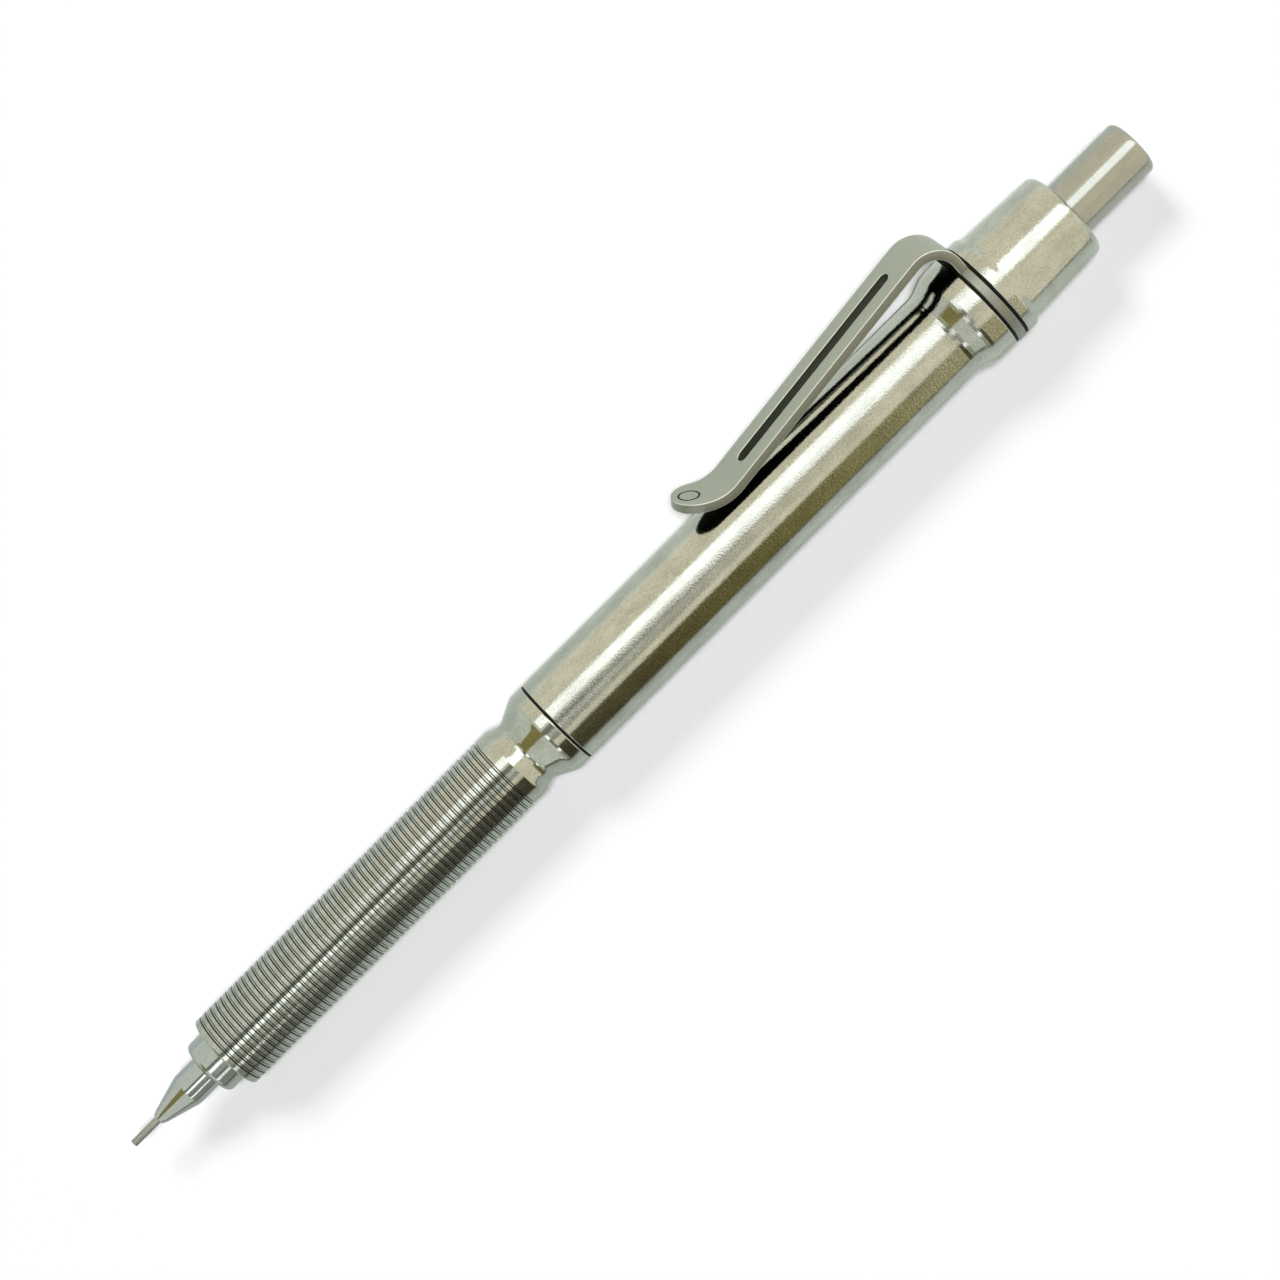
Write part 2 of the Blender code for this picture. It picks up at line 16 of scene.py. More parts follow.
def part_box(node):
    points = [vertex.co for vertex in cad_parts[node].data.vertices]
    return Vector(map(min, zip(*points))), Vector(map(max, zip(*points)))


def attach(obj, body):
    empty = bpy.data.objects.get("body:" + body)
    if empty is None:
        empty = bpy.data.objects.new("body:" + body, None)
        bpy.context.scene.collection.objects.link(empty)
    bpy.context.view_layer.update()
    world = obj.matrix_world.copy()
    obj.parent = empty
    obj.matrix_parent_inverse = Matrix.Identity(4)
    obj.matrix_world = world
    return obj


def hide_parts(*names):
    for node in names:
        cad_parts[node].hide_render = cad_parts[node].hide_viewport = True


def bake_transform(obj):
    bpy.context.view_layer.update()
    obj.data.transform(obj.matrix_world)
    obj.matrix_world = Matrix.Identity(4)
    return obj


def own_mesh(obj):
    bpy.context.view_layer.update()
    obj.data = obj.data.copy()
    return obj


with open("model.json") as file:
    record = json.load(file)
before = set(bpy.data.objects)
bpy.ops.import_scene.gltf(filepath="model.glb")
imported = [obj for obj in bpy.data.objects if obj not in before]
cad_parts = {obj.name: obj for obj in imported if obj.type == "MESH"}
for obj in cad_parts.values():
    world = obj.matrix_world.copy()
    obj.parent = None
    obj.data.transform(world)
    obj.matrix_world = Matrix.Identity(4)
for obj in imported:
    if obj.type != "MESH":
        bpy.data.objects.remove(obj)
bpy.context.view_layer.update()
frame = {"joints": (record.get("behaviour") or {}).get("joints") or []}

# ---------------------------------------------------------------------------------------------------------
# Lead sleeve.  A drawn stainless tube, pressed into the nose, that guides the lead and stays clear of a
# ruler's edge.  Its wall is 0.1 mm and its tip is turned over a little, so that it doesn't scratch.
# ---------------------------------------------------------------------------------------------------------
MM = 0.001
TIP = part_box("lead_sleeve")[0].x
AXIS = (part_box("rear_cap")[0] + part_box("rear_cap")[1]) / 2
HOLD = 0.03  # an extra ring this far from a corner keeps long turned faces flat in the shading
LEAD_RADIUS = 0.25


def reach(node):
    """Front station, back station and radius of a CAD node that is turned about the pencil's axis."""
    low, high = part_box(node)
    return (low.x - TIP) / MM, (high.x - TIP) / MM, (high.z - low.z) / 2 / MM


def at(station, across, up):
    """A point in the frame from a station and two distances from the pencil's axis."""
    return Vector((TIP + station * MM, AXIS.y + across * MM, AXIS.z + up * MM))


def rounded(corners, closed):
    """An outline of (station, radius) points from corners of (station, radius, fillet)."""
    points = []
    last = len(corners) - 1
    for k, (station, radius, fillet) in enumerate(corners):
        here = Vector((station, radius))
        if fillet == 0 or (not closed and k in (0, last)):
            points.append(here)
            continue
        before = (Vector(corners[k - 1][:2]) - here).normalized()
        after = (Vector(corners[(k + 1) % len(corners)][:2]) - here).normalized()
        half = before.angle(after) / 2
        centre = here + (before + after).normalized() * fillet / math.sin(half)
        start = here + before * fillet / math.tan(half) - centre
        end = here + after * fillet / math.tan(half) - centre
        steps = max(2, math.ceil(math.degrees(math.pi - 2 * half) / 12))
        for step in range(steps + 1):
            points.append(centre + start.slerp(end, step / steps) * fillet)
    return points


def held(points, closed):
    """The outline with an extra point beside each end of its long straight stretches."""
    result = []
    pairs = list(zip(points, points[1:] + points[:1] if closed else points[1:]))
    for here, there in pairs:
        result.append(here)
        run = (there - here).length
        if run > 8 * HOLD:
            result.append(here.lerp(there, HOLD / run))
            result.append(there.lerp(here, HOLD / run))
    return result if closed else result + [points[-1]]


def lathe(points, closed, sides):
    """A bmesh turned about the pencil's axis; an outline's end on the axis closes in one point."""
    bm = bmesh.new()
    rings = []
    for station, radius in points:
        count = 1 if radius < 1e-6 else sides
        ring = []
        for k in range(count):
            angle = 2 * math.pi * k / sides
            ring.append(bm.verts.new(at(station, radius * math.sin(angle), radius * math.cos(angle))))
        rings.append(ring)
    for here, there in zip(rings, rings[1:] + rings[:1] if closed else rings[1:]):
        for k in range(sides):
            corners = [here[k % len(here)], here[(k + 1) % len(here)]]
            corners += [there[(k + 1) % len(there)], there[k % len(there)]]
            bm.faces.new(list(dict.fromkeys(corners)))
    bmesh.ops.recalc_face_normals(bm, faces=bm.faces)
    return bm


def add_piece(name, bm, material):
    """Links a finished bmesh as an object at the origin, shaded smooth with sharp corners kept."""
    mesh = bpy.data.meshes.new(name)
    bm.to_mesh(mesh)
    bm.free()
    mesh.materials.append(material)
    mesh.shade_smooth()
    mesh.set_sharp_from_angle(angle=math.radians(32))
    piece = bpy.data.objects.new(name, mesh)
    bpy.context.scene.collection.objects.link(piece)
    return piece


def turned(name, corners, material, closed=True, sides=96):
    """A turned piece from its outline's corners."""
    return add_piece(name, lathe(held(rounded(corners, closed), closed), closed, sides), material)


def fit(piece, body, slot, *nodes):
    """Lets a piece stand for its CAD nodes, which it hides, and ride on their body."""
    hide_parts(*nodes)
    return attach(piece, body)


def colour(code):
    """A linear colour from an sRGB hex code."""
    channels = [int(code[k : k + 2], 16) / 255 for k in (1, 3, 5)]
    return (*[c / 12.92 if c <= 0.04045 else ((c + 0.055) / 1.055) ** 2.4 for c in channels], 1.0)


def add_node(tree, kind, links=(), **settings):
    """Adds a node; settings are its properties or, by socket name or number, its inputs' values."""
    node = tree.nodes.new(kind)
    inputs = settings.pop("inputs", {})
    for key, value in settings.items():
        setattr(node, key, value)
    for key, value in inputs.items():
        node.inputs[key].default_value = value
    for key, source in dict(links).items():
        tree.links.new(source, node.inputs[key])
    return node


def new_material(name):
    """An empty material with a Principled shader, and the tree and shader to work on."""
    material = bpy.data.materials.new(name)
    material.use_nodes = True
    return material, material.node_tree, material.node_tree.nodes["Principled BSDF"]


def axis_coordinates(tree, along, around):
    """Object coordinates centred on the pencil's axis, in pattern cells of along by around millimetres."""
    place = add_node(tree, "ShaderNodeTexCoord")
    cell = add_node(
        tree,
        "ShaderNodeMapping",
        {"Vector": place.outputs["Object"]},
        vector_type="TEXTURE",
        inputs={"Location": (0, AXIS.y, AXIS.z), "Scale": (along * MM, around * MM, around * MM)},
    )
    return cell.outputs["Vector"]


def turned_metal(name, low, high, roughness, rings, grain):
    """Metal from the lathe: rings of tool marks round the axis, and a fine grain from its last polish.

    Rings and grain are (spacing, depth) in millimetres.  The base runs between two colours in soft clouds,
    and the roughness between two values with the grain.
    """
    material, tree, shader = new_material(name)
    marks = add_node(
        tree,
        "ShaderNodeTexNoise",
        {"Vector": axis_coordinates(tree, rings[0], 60 * rings[0])},
        inputs={"Scale": 1.0, "Detail": 3.0, "Roughness": 0.7},
    )
    specks = add_node(
        tree,
        "ShaderNodeTexNoise",
        {"Vector": axis_coordinates(tree, grain[0], grain[0])},
        inputs={"Scale": 1.0, "Detail": 2.0, "Roughness": 0.6},
    )
    clouds = add_node(
        tree,
        "ShaderNodeTexNoise",
        {"Vector": axis_coordinates(tree, 3.0, 1.5)},
        inputs={"Scale": 1.0, "Detail": 3.0, "Roughness": 0.6},
    )
    mottle = add_node(
        tree, "ShaderNodeMath", {0: clouds.outputs["Fac"], 1: specks.outputs["Fac"]}, operation="ADD"
    )
    shade = add_node(
        tree,
        "ShaderNodeMapRange",
        {"Value": mottle.outputs["Value"]},
        inputs={"From Min": 0.7, "From Max": 1.3},
    )
    tint = add_node(
        tree,
        "ShaderNodeMix",
        {"Factor": shade.outputs["Result"]},
        data_type="RGBA",
        inputs={6: colour(low), 7: colour(high)},
    )
    gloss = add_node(
        tree,
        "ShaderNodeMapRange",
        {"Value": specks.outputs["Fac"]},
        inputs={"From Min": 0.3, "From Max": 0.7, "To Min": roughness[0], "To Max": roughness[1]},
    )
    turned_relief = add_node(
        tree,
        "ShaderNodeBump",
        {"Height": marks.outputs["Fac"]},
        inputs={"Strength": 1.0, "Distance": rings[1] * MM},
    )
    relief = add_node(
        tree,
        "ShaderNodeBump",
        {"Height": specks.outputs["Fac"], "Normal": turned_relief.outputs["Normal"]},
        inputs={"Strength": 1.0, "Distance": grain[1] * MM},
    )
    tree.links.new(tint.outputs[2], shader.inputs["Base Color"])
    tree.links.new(gloss.outputs["Result"], shader.inputs["Roughness"])
    tree.links.new(relief.outputs["Normal"], shader.inputs["Normal"])
    shader.inputs["Metallic"].default_value = 1.0
    return material


# Turned and polished stainless steel: cool grey, nearly mirror bright, with faint rings of tool marks.
# Real tool marks are 0.03 mm apart and are drawn 0.12 mm apart, so that they show.
polished_steel = turned_metal(
    "polished_stainless_steel", "#a8aeac", "#b2b8b6", (0.06, 0.12), (0.06, 0.0008), (0.2, 0.0012)
)

# The same steel as it comes from the drawing die: greyer and softer, without rings.
drawn_steel = turned_metal(
    "drawn_stainless_tube", "#8b8f88", "#a1a59d", (0.2, 0.3), (0.4, 0.0004), (0.1, 0.0006)
)

sleeve_front, sleeve_back, sleeve_radius = reach("lead_sleeve")
sleeve_bore = sleeve_radius - 0.1
sleeve = turned(
    "lead_sleeve_tube",
    [
        (sleeve_front, sleeve_radius, 0.08),
        (sleeve_back, sleeve_radius, 0),
        (sleeve_back, sleeve_bore, 0),
        (sleeve_front, sleeve_bore, 0.015),
    ],
    drawn_steel,
    sides=48,
)
fit(sleeve, "casing", "bright_steel", "lead_sleeve")

# ---------------------------------------------------------------------------------------------------------
# Lead retainer.  A small moulded rubber ring in the nose that holds the lead while the chuck is open.
# ---------------------------------------------------------------------------------------------------------
def dark_polymer(name, base, roughness, grit):
    """Moulded plastic or rubber: one dark colour with a fine grit of grit millimetres in its gloss."""
    material, tree, shader = new_material(name)
    grains = add_node(
        tree,
        "ShaderNodeTexNoise",
        {"Vector": axis_coordinates(tree, grit, grit)},
        inputs={"Scale": 1.0, "Detail": 2.0},
    )
    gloss = add_node(
        tree,
        "ShaderNodeMapRange",
        {"Value": grains.outputs["Fac"]},
        inputs={"To Min": roughness - 0.1, "To Max": roughness + 0.1},
    )
    relief = add_node(
        tree,
        "ShaderNodeBump",
        {"Height": grains.outputs["Fac"]},
        inputs={"Strength": 0.4, "Distance": 0.004 * MM},
    )
    tree.links.new(gloss.outputs["Result"], shader.inputs["Roughness"])
    tree.links.new(relief.outputs["Normal"], shader.inputs["Normal"])
    shader.inputs["Base Color"].default_value = colour(base)
    return material


# Nitrile rubber: dead black with a dull, slightly grainy skin.
nitrile_rubber = dark_polymer("nitrile_rubber", "#141414", 0.75, 0.08)

retainer_front, retainer_back, retainer_radius = reach("lead_retainer")
retainer = turned(
    "lead_retainer_ring",
    [
        (retainer_front, retainer_radius, 0.15),
        (retainer_back, retainer_radius, 0.15),
        (retainer_back, LEAD_RADIUS + 0.02, 0.12),
        (retainer_front, LEAD_RADIUS + 0.02, 0.12),
    ],
    nitrile_rubber,
    sides=48,
)
fit(retainer, "casing", "retainer_rubber", "lead_retainer")

# ---------------------------------------------------------------------------------------------------------
# Nose cone.  One stainless turning: a long cone, a neck, and a collar as wide as a finger's first hold,
# with a threaded shank that screws into the grip.  It is polished brighter than the pieces behind it.
# ---------------------------------------------------------------------------------------------------------
nose_front, nose_back, collar_radius = reach("nose_cone")
neck_radius = 1.875
cone_back = 7.65
collar_front = 10.6
collar_back = reach("grip_section")[0] - 0.05
shank_radius = 2.9
nose = turned(
    "nose_cone_turning",
    [
        (nose_front, sleeve_radius + 0.01, 0),
        (nose_front, 0.6, 0.12),
        (nose_front + 0.5, 0.84, 0.4),
        (cone_back, neck_radius, 1.5),
        (collar_front - 0.2, neck_radius, 0.05),
        (collar_front - 0.1, neck_radius - 0.1, 0.03),
        (collar_front, neck_radius - 0.1, 0.03),
        (collar_front, collar_radius, 0.55),
        (collar_back, collar_radius, 0.08),
        (collar_back, shank_radius, 0),
        (nose_back, shank_radius, 0.1),
        (nose_back, 2.55, 0),
        (12.6, 2.55, 0),
        (12.6, 1.55, 0),
        (8.4, 1.55, 0),
        (8.4, 1.05, 0),
        (7.1, 1.05, 0),
        (7.1, sleeve_radius + 0.01, 0),
    ],
    polished_steel,
)
fit(nose, "casing", "bright_steel", "nose_cone")

# ---------------------------------------------------------------------------------------------------------
# Grip section.  A stainless tube with a long run of fine grooves for the fingers, then a waist and
# a flare that meets the barrel, where its threaded spigot goes in.  Geometry Nodes repeat one groove.
# ---------------------------------------------------------------------------------------------------------
# Turned stainless steel, satin: a warm grey whose fine speckle feathers the edges of long reflections.
# Real tool marks and grain are 0.05 mm wide and are drawn up to 0.2 mm wide, so that they show.
satin_steel = turned_metal(
    "satin_turned_stainless_steel", "#9ca097", "#bbbfb7", (0.07, 0.12), (0.05, 0.002), (0.2, 0.009)
)

# The same steel on the grip, turned finer and so smoother and clearer to mirror, with painted shade in its
# grooves: a near black, from a vertex attribute of the mesh, full on their walls and faint on their floors.
grip_steel_with_painted_groove_shade = turned_metal(
    "fine_turned_steel_with_painted_groove_shade", "#9ca197", "#b8bdb5", (0.05, 0.09), (0.05, 0.001), (0.2, 0.004)
)
tree = grip_steel_with_painted_groove_shade.node_tree
shader = tree.nodes["Principled BSDF"]
unshaded = shader.inputs["Base Color"].links[0].from_socket
groove_shade = add_node(tree, "ShaderNodeAttribute", attribute_name="groove_shade")
tint = add_node(
    tree,
    "ShaderNodeMix",
    {"Factor": groove_shade.outputs["Fac"], 6: unshaded},
    data_type="RGBA",
    inputs={7: colour("#14160f")},
)
tree.links.new(tint.outputs[2], shader.inputs["Base Color"])

grip_front, grip_back, bulge_radius = reach("grip_section")
grip_radius = 4.3
groove_pitch = 0.733
groove_count = 54
groove_width = 0.34
groove_depth = 0.12
groove_wall = 0.09  # how far a groove's wall leans over its depth
first_groove = grip_front + 0.5
last_groove = first_groove + groove_count * groove_pitch
grip_sides = 112
spigot_radius = 3.9
grip_shoulder = 60.04


def groove_outline():
    """One pitch of the grooved stretch, from land to land, as (station, radius, painted shade) points."""
    land = (groove_pitch - groove_width) / 2
    floor = grip_radius - groove_depth
    half = [
        (0, grip_radius, 0),
        (land - 0.015, grip_radius, 0),
        (land, grip_radius - 0.01, 1),
        (land + groove_wall, floor, 1),
        (land + groove_wall + 0.02, floor, 0.1),
    ]
    return half + [(groove_pitch - along, radius, groove_shade) for along, radius, groove_shade in reversed(half)]


def grooved_ring():
    """The mesh of one pitch, with the painted shade on its groove as a vertex attribute."""
    outline = groove_outline()
    bm = lathe([(first_groove + along, radius) for along, radius, _ in outline], False, grip_sides)
    layer = bm.verts.layers.float.new("groove_shade")
    bm.verts.ensure_lookup_table()
    for k, vertex in enumerate(bm.verts):
        vertex[layer] = outline[k // grip_sides][2]
    return bm


def start_tree(name, sockets):
    """A Geometry Nodes tree with named inputs, its input node and its output node."""
    tree = bpy.data.node_groups.new(name, "GeometryNodeTree")
    tree.interface.new_socket("Geometry", in_out="OUTPUT", socket_type="NodeSocketGeometry")
    for socket, kind in sockets:
        tree.interface.new_socket(socket, in_out="INPUT", socket_type=kind)
    return tree, tree.nodes.new("NodeGroupInput"), tree.nodes.new("NodeGroupOutput")


def run_tree(piece, tree, values):
    """Runs a tree on a piece with these inputs, and leaves the result as the piece's plain mesh."""
    modifier = piece.modifiers.new(tree.name, "NODES")
    modifier.node_group = tree
    for item in tree.interface.items_tree:
        if item.item_type == "SOCKET" and item.in_out == "INPUT" and item.name in values:
            modifier[item.identifier] = values[item.name]
    graph = bpy.context.evaluated_depsgraph_get()
    mesh = bpy.data.meshes.new_from_object(piece.evaluated_get(graph), depsgraph=graph)
    piece.modifiers.remove(modifier)
    piece.data = mesh
    return piece


def repeat_tree():
    """Repeats the piece's own mesh along +X, joins it to a second object and closes the seams."""
    sockets = [
        ("Geometry", "NodeSocketGeometry"),
        ("Pitch", "NodeSocketFloat"),
        ("Count", "NodeSocketInt"),
        ("Ends", "NodeSocketObject"),
        ("Material", "NodeSocketMaterial"),
    ]
    tree, given, result = start_tree("grooves_along_the_grip", sockets)
    step = add_node(tree, "ShaderNodeCombineXYZ", {"X": given.outputs["Pitch"]})
    line = add_node(
        tree, "GeometryNodeMeshLine", {"Count": given.outputs["Count"], "Offset": step.outputs["Vector"]}
    )
    copies = add_node(
        tree,
        "GeometryNodeInstanceOnPoints",
        {"Points": line.outputs["Mesh"], "Instance": given.outputs["Geometry"]},
    )
    ends = add_node(tree, "GeometryNodeObjectInfo", {"Object": given.outputs["Ends"]})
    joined = add_node(tree, "GeometryNodeJoinGeometry", {"Geometry": copies.outputs["Instances"]})
    tree.links.new(ends.outputs["Geometry"], joined.inputs["Geometry"])
    real = add_node(tree, "GeometryNodeRealizeInstances", {"Geometry": joined.outputs["Geometry"]})
    welded = add_node(
        tree, "GeometryNodeMergeByDistance", {"Geometry": real.outputs["Geometry"]}, inputs={"Distance": 1e-6}
    )
    coated = add_node(
        tree,
        "GeometryNodeSetMaterial",
        {"Geometry": welded.outputs["Geometry"], "Material": given.outputs["Material"]},
    )
    tree.links.new(coated.outputs["Geometry"], result.inputs["Geometry"])
    return tree


grip_ends_outline = [
    (last_groove, grip_radius, 0),
    (54.35, grip_radius, 0.9),
    (55.35, 3.86, 0.9),
    (56.0, 3.8, 0.9),
    (58.4, 5.02, 1.6),
    (grip_shoulder, 5.03, 0.15),
    (grip_shoulder, spigot_radius, 0),
    (grip_back, spigot_radius, 0.3),
    (grip_back, 2.55, 0),
    (17.1, 2.55, 0),
    (17.1, 3.0, 0),
    (grip_front, 3.0, 0.1),
    (grip_front, grip_radius, 0.22),
    (first_groove, grip_radius, 0),
]
grip_ends = add_piece(
    "grip_ends", lathe(held(rounded(grip_ends_outline, False), False), False, grip_sides), satin_steel
)
grip = add_piece("grip_grooved_tube", grooved_ring(), satin_steel)
run_tree(
    grip,
    repeat_tree(),
    {"Pitch": groove_pitch * MM, "Count": groove_count, "Ends": grip_ends, "Material": grip_steel_with_painted_groove_shade},
)
bpy.data.objects.remove(grip_ends)
bm = bmesh.new()
bm.from_mesh(grip.data)
bmesh.ops.recalc_face_normals(bm, faces=bm.faces)
bm.to_mesh(grip.data)
bm.free()
grip.data.shade_smooth()
grip.data.set_sharp_from_angle(angle=math.radians(32))
fit(grip, "casing", "satin_steel", "grip_section")

# ---------------------------------------------------------------------------------------------------------
# Grip washer.  A thin black plastic washer that seats the grip against the barrel and shows as a dark line.
# ---------------------------------------------------------------------------------------------------------
# Acetal: black, smooth, with a soft sheen.
black_acetal = dark_polymer("black_acetal", "#060606", 0.6, 0.05)
black_acetal.node_tree.nodes["Principled BSDF"].inputs["Specular IOR Level"].default_value = 0.2


def washer(name, node, outer):
    """A flat washer with slightly rounded rims, in the place of its CAD node."""
    front, back, _ = reach(node)
    bore = spigot_radius + 0.06
    edge = 0.04
    corners = [(front, outer, edge), (back, outer, edge), (back, bore, 0), (front, bore, 0)]
    return fit(turned(name, corners, black_acetal), "casing", "black_washer", node)


washer("grip_seal_washer", "grip_washer", 4.9)

# ---------------------------------------------------------------------------------------------------------
# Barrel.  A stainless tube with a satin turned finish that swells to the clip ring's width at its back.
# ---------------------------------------------------------------------------------------------------------
barrel_front, barrel_back, flare_radius = reach("barrel")
barrel_front -= 0.04
barrel_radius = 5.025
barrel_bore = 4.0
barrel = turned(
    "barrel_tube",
    [
        (barrel_front, barrel_bore, 0.1),
        (barrel_front, barrel_radius, 0.1),
        (114.95, barrel_radius, 2.2),
        (116.95, flare_radius - 0.02, 2.0),
        (barrel_back, flare_radius, 0.1),
        (barrel_back, barrel_bore, 0.1),
    ],
    satin_steel,
    sides=128,
)
fit(barrel, "casing", "satin_steel", "barrel")

# ---------------------------------------------------------------------------------------------------------
# Clip.  One strip of 1 mm stainless sheet: a ring on the barrel's end between two black washers, a bend,
# a straight arm with a pressed slot, and a round pad that turns up.  It is blasted matte, with a painted
# highlight on its edges, painted shade on its inner side and slot walls, and a plain engraved ring on the
# pad.
# ---------------------------------------------------------------------------------------------------------
washer("clip_washer_front_disc", "clip_washer_front", 5.72)
washer("clip_washer_rear_disc", "clip_washer_rear", 5.72)

clip_joint = next(joint for joint in frame["joints"] if joint["name"] == "clip_flex")
clip_across = Vector(clip_joint["axis"])
clip_up = Vector((1, 0, 0)).cross(clip_across) * -1
if clip_up.y < 0:
    clip_up = -clip_up
sheet = 1.0
clip_width = 5.3
bend_radius = 3.0  # at the middle of the sheet
bend_height = 6.4
arm_slope = math.radians(7.5)
knee_station = 89.6
knee_radius = 5.0
pad_rise = math.radians(33)
pad_length = 3.1
slot_front = 91.4
slot_back = 114.6
slot_width = 1.55
edge_break = 0.07
ring_front, ring_back = reach("clip_washer_front")[1], reach("clip_washer_rear")[0]
ring_middle = (ring_front + ring_back) / 2


def clip_point(station, across, height):
    """A point in the frame from a station, a distance across the clip and a height over the axis."""
    return Vector((TIP + station * MM, AXIS.y, AXIS.z)) + (clip_across * across + clip_up * height) * MM


def outward(heading):
    """The sheet's outer normal, in station and height, where it climbs at a heading towards the tip."""
    return Vector((math.sin(heading), math.cos(heading)))


def onward(heading):
    """The way the sheet runs, in station and height, at a heading."""
    return Vector((-math.cos(heading), math.sin(heading)))


def run_straight(rows, length, steps):
    """Extends the sheet's middle line straight ahead."""
    place, heading, gone = rows[-1]
    for step in range(1, steps + 1):
        ahead = length * step / steps
        rows.append((place + onward(heading) * ahead, heading, gone + ahead))


def run_bend(rows, heading, radius, steps):
    """Bends the sheet's middle line to a new heading."""
    place, old, gone = rows[-1]
    side = 1 if heading < old else -1
    centre = place - outward(old) * side * radius
    for step in range(1, steps + 1):
        now = old + (heading - old) * step / steps
        rows.append((centre + outward(now) * side * radius, now, gone + radius * abs(now - old)))


def half_widths(gone, length, slot_ends):
    """Half the slot's width and half the sheet's width at a distance along the sheet."""
    outer = clip_width / 2
    left = length - gone
    if left < outer:
        outer = math.sqrt(max(0.0, outer**2 - (outer - left) ** 2))
    radius = slot_width / 2
    into = min(gone - slot_ends[0], slot_ends[1] - gone)
    if into <= 0:
        return 0.0, outer
    return (radius if into >= radius else math.sqrt(radius**2 - (radius - into) ** 2)), outer


def round_end_steps(radius, count):
    """Distances into a round end, close together where the outline turns across."""
    return [radius * (1 - math.cos(math.pi / 2 * k / count)) for k in range(1, count + 1)]


def clip_sheet():
    """The bent strip, from inside the ring to the pad's end, with the slot left open."""
    rows = [(Vector((ring_middle, 4.6)), math.pi / 2, 0.0)]
    run_straight(rows, bend_height - 4.6, 2)
    run_bend(rows, 0.0, bend_radius, 14)
    run_bend(rows, -arm_slope, bend_radius, 2)
    arm_start = rows[-1]
    arm_length = (arm_start[0].x - knee_station) / math.cos(arm_slope)
    per_station = 1 / math.cos(arm_slope)
    slot_ends = [arm_start[2] + (arm_start[0].x - s) * per_station for s in (slot_back, slot_front)]
    ends = round_end_steps(slot_width / 2, 8)
    marks = [slot_ends[0]] + [slot_ends[0] + e for e in ends]
    marks += [slot_ends[1] - e for e in reversed(ends)] + [slot_ends[1]]
    marks.append(arm_start[2] + arm_length)
    for mark in marks:
        ahead = mark - arm_start[2]
        rows.append((arm_start[0] + onward(-arm_slope) * ahead, -arm_slope, mark))
    run_bend(rows, pad_rise, knee_radius, 8)
    pad_start = rows[-1]
    length = pad_start[2] + pad_length
    pad_marks = [pad_start[2] + pad_length - clip_width / 2]
    pad_marks += [length - clip_width / 2 * (1 - math.sin(math.pi / 2 * k / 12)) for k in range(1, 12)]
    pad_marks.append(length - 0.002)
    for mark in pad_marks:
        rows.append((pad_start[0] + onward(pad_rise) * (mark - pad_start[2]), pad_rise, mark))

    bm = bmesh.new()
    grid = []
    for place, heading, gone in rows:
        inner, outer = half_widths(gone, length, slot_ends)
        sides = []
        for side in (0.5, -0.5):
            middle = place + outward(heading) * side * sheet
            across = (-outer, -(inner + outer) / 2, -inner, inner, (inner + outer) / 2, outer)
            sides.append([bm.verts.new(clip_point(middle.x, a, middle.y)) for a in across])
        grid.append((sides, inner > 0))
    for (here, open_here), (there, open_there) in zip(grid, grid[1:]):
        open_slot = open_here or open_there
        # The outer face is blasted; the inner face takes the near black of painted shade.
        for side in (0, 1):
            for k in range(5):
                if k != 2 or not open_slot:
                    corners = here[side][k], here[side][k + 1], there[side][k + 1], there[side][k]
                    face = bm.faces.new(corners)
                    face.material_index = 3 * side
        # The cut sides take the cut finish, and the slot's walls take the painted slot shade.
        for k in (0, 5) + ((2, 3) if open_slot else ()):
            face = bm.faces.new((here[0][k], here[1][k], there[1][k], there[0][k]))
            face.material_index = 2 if k in (0, 5) else 4
    for sides, _ in (grid[0], grid[-1]):
        for k in range(5):
            bm.faces.new((sides[0][k], sides[0][k + 1], sides[1][k + 1], sides[1][k]))
    bmesh.ops.remove_doubles(bm, verts=bm.verts, dist=1e-7)
    bmesh.ops.dissolve_degenerate(bm, edges=bm.edges, dist=1e-8)
    bmesh.ops.recalc_face_normals(bm, faces=bm.faces)
    return bm, pad_start


def apply_modifiers(piece):
    """Leaves a piece's modifiers in its mesh."""
    graph = bpy.context.evaluated_depsgraph_get()
    mesh = bpy.data.meshes.new_from_object(piece.evaluated_get(graph), depsgraph=graph)
    piece.modifiers.clear()
    piece.data = mesh


def combine(piece, other, operation):
    """Joins a second closed shape to a piece, or cuts it out, and removes the second shape."""
    modifier = piece.modifiers.new(operation, "BOOLEAN")
    modifier.operation = operation
    modifier.object = other
    modifier.solver = "EXACT"
    apply_modifiers(piece)
    bpy.data.objects.remove(other)


def clip_sheet_steel(name, low, high, roughness, depth):
    """Stainless sheet with a fine even grit; its base and roughness run between two values."""
    material, tree, shader = new_material(name)
    pits = add_node(
        tree,
        "ShaderNodeTexNoise",
        {"Vector": axis_coordinates(tree, 0.15, 0.15)},
        inputs={"Scale": 1.0, "Detail": 3.0, "Roughness": 0.6},
    )
    tint = add_node(
        tree,
        "ShaderNodeMix",
        {"Factor": pits.outputs["Fac"]},
        data_type="RGBA",
        inputs={6: colour(low), 7: colour(high)},
    )
    gloss = add_node(
        tree,
        "ShaderNodeMapRange",
        {"Value": pits.outputs["Fac"]},
        inputs={"To Min": roughness - 0.06, "To Max": roughness + 0.06},
    )
    relief = add_node(
        tree,
        "ShaderNodeBump",
        {"Height": pits.outputs["Fac"]},
        inputs={"Strength": 1.0, "Distance": depth * MM},
    )
    tree.links.new(tint.outputs[2], shader.inputs["Base Color"])
    tree.links.new(gloss.outputs["Result"], shader.inputs["Roughness"])
    tree.links.new(relief.outputs["Normal"], shader.inputs["Normal"])
    shader.inputs["Metallic"].default_value = 1.0
    return material


# Blasted sheet: even, cool, dull grey.  The real grit leaves 0.05 mm pits, drawn 0.15 mm wide.
blasted_steel = clip_sheet_steel("blasted_stainless_sheet", "#989d93", "#b0b5aa", 0.5, 0.006)
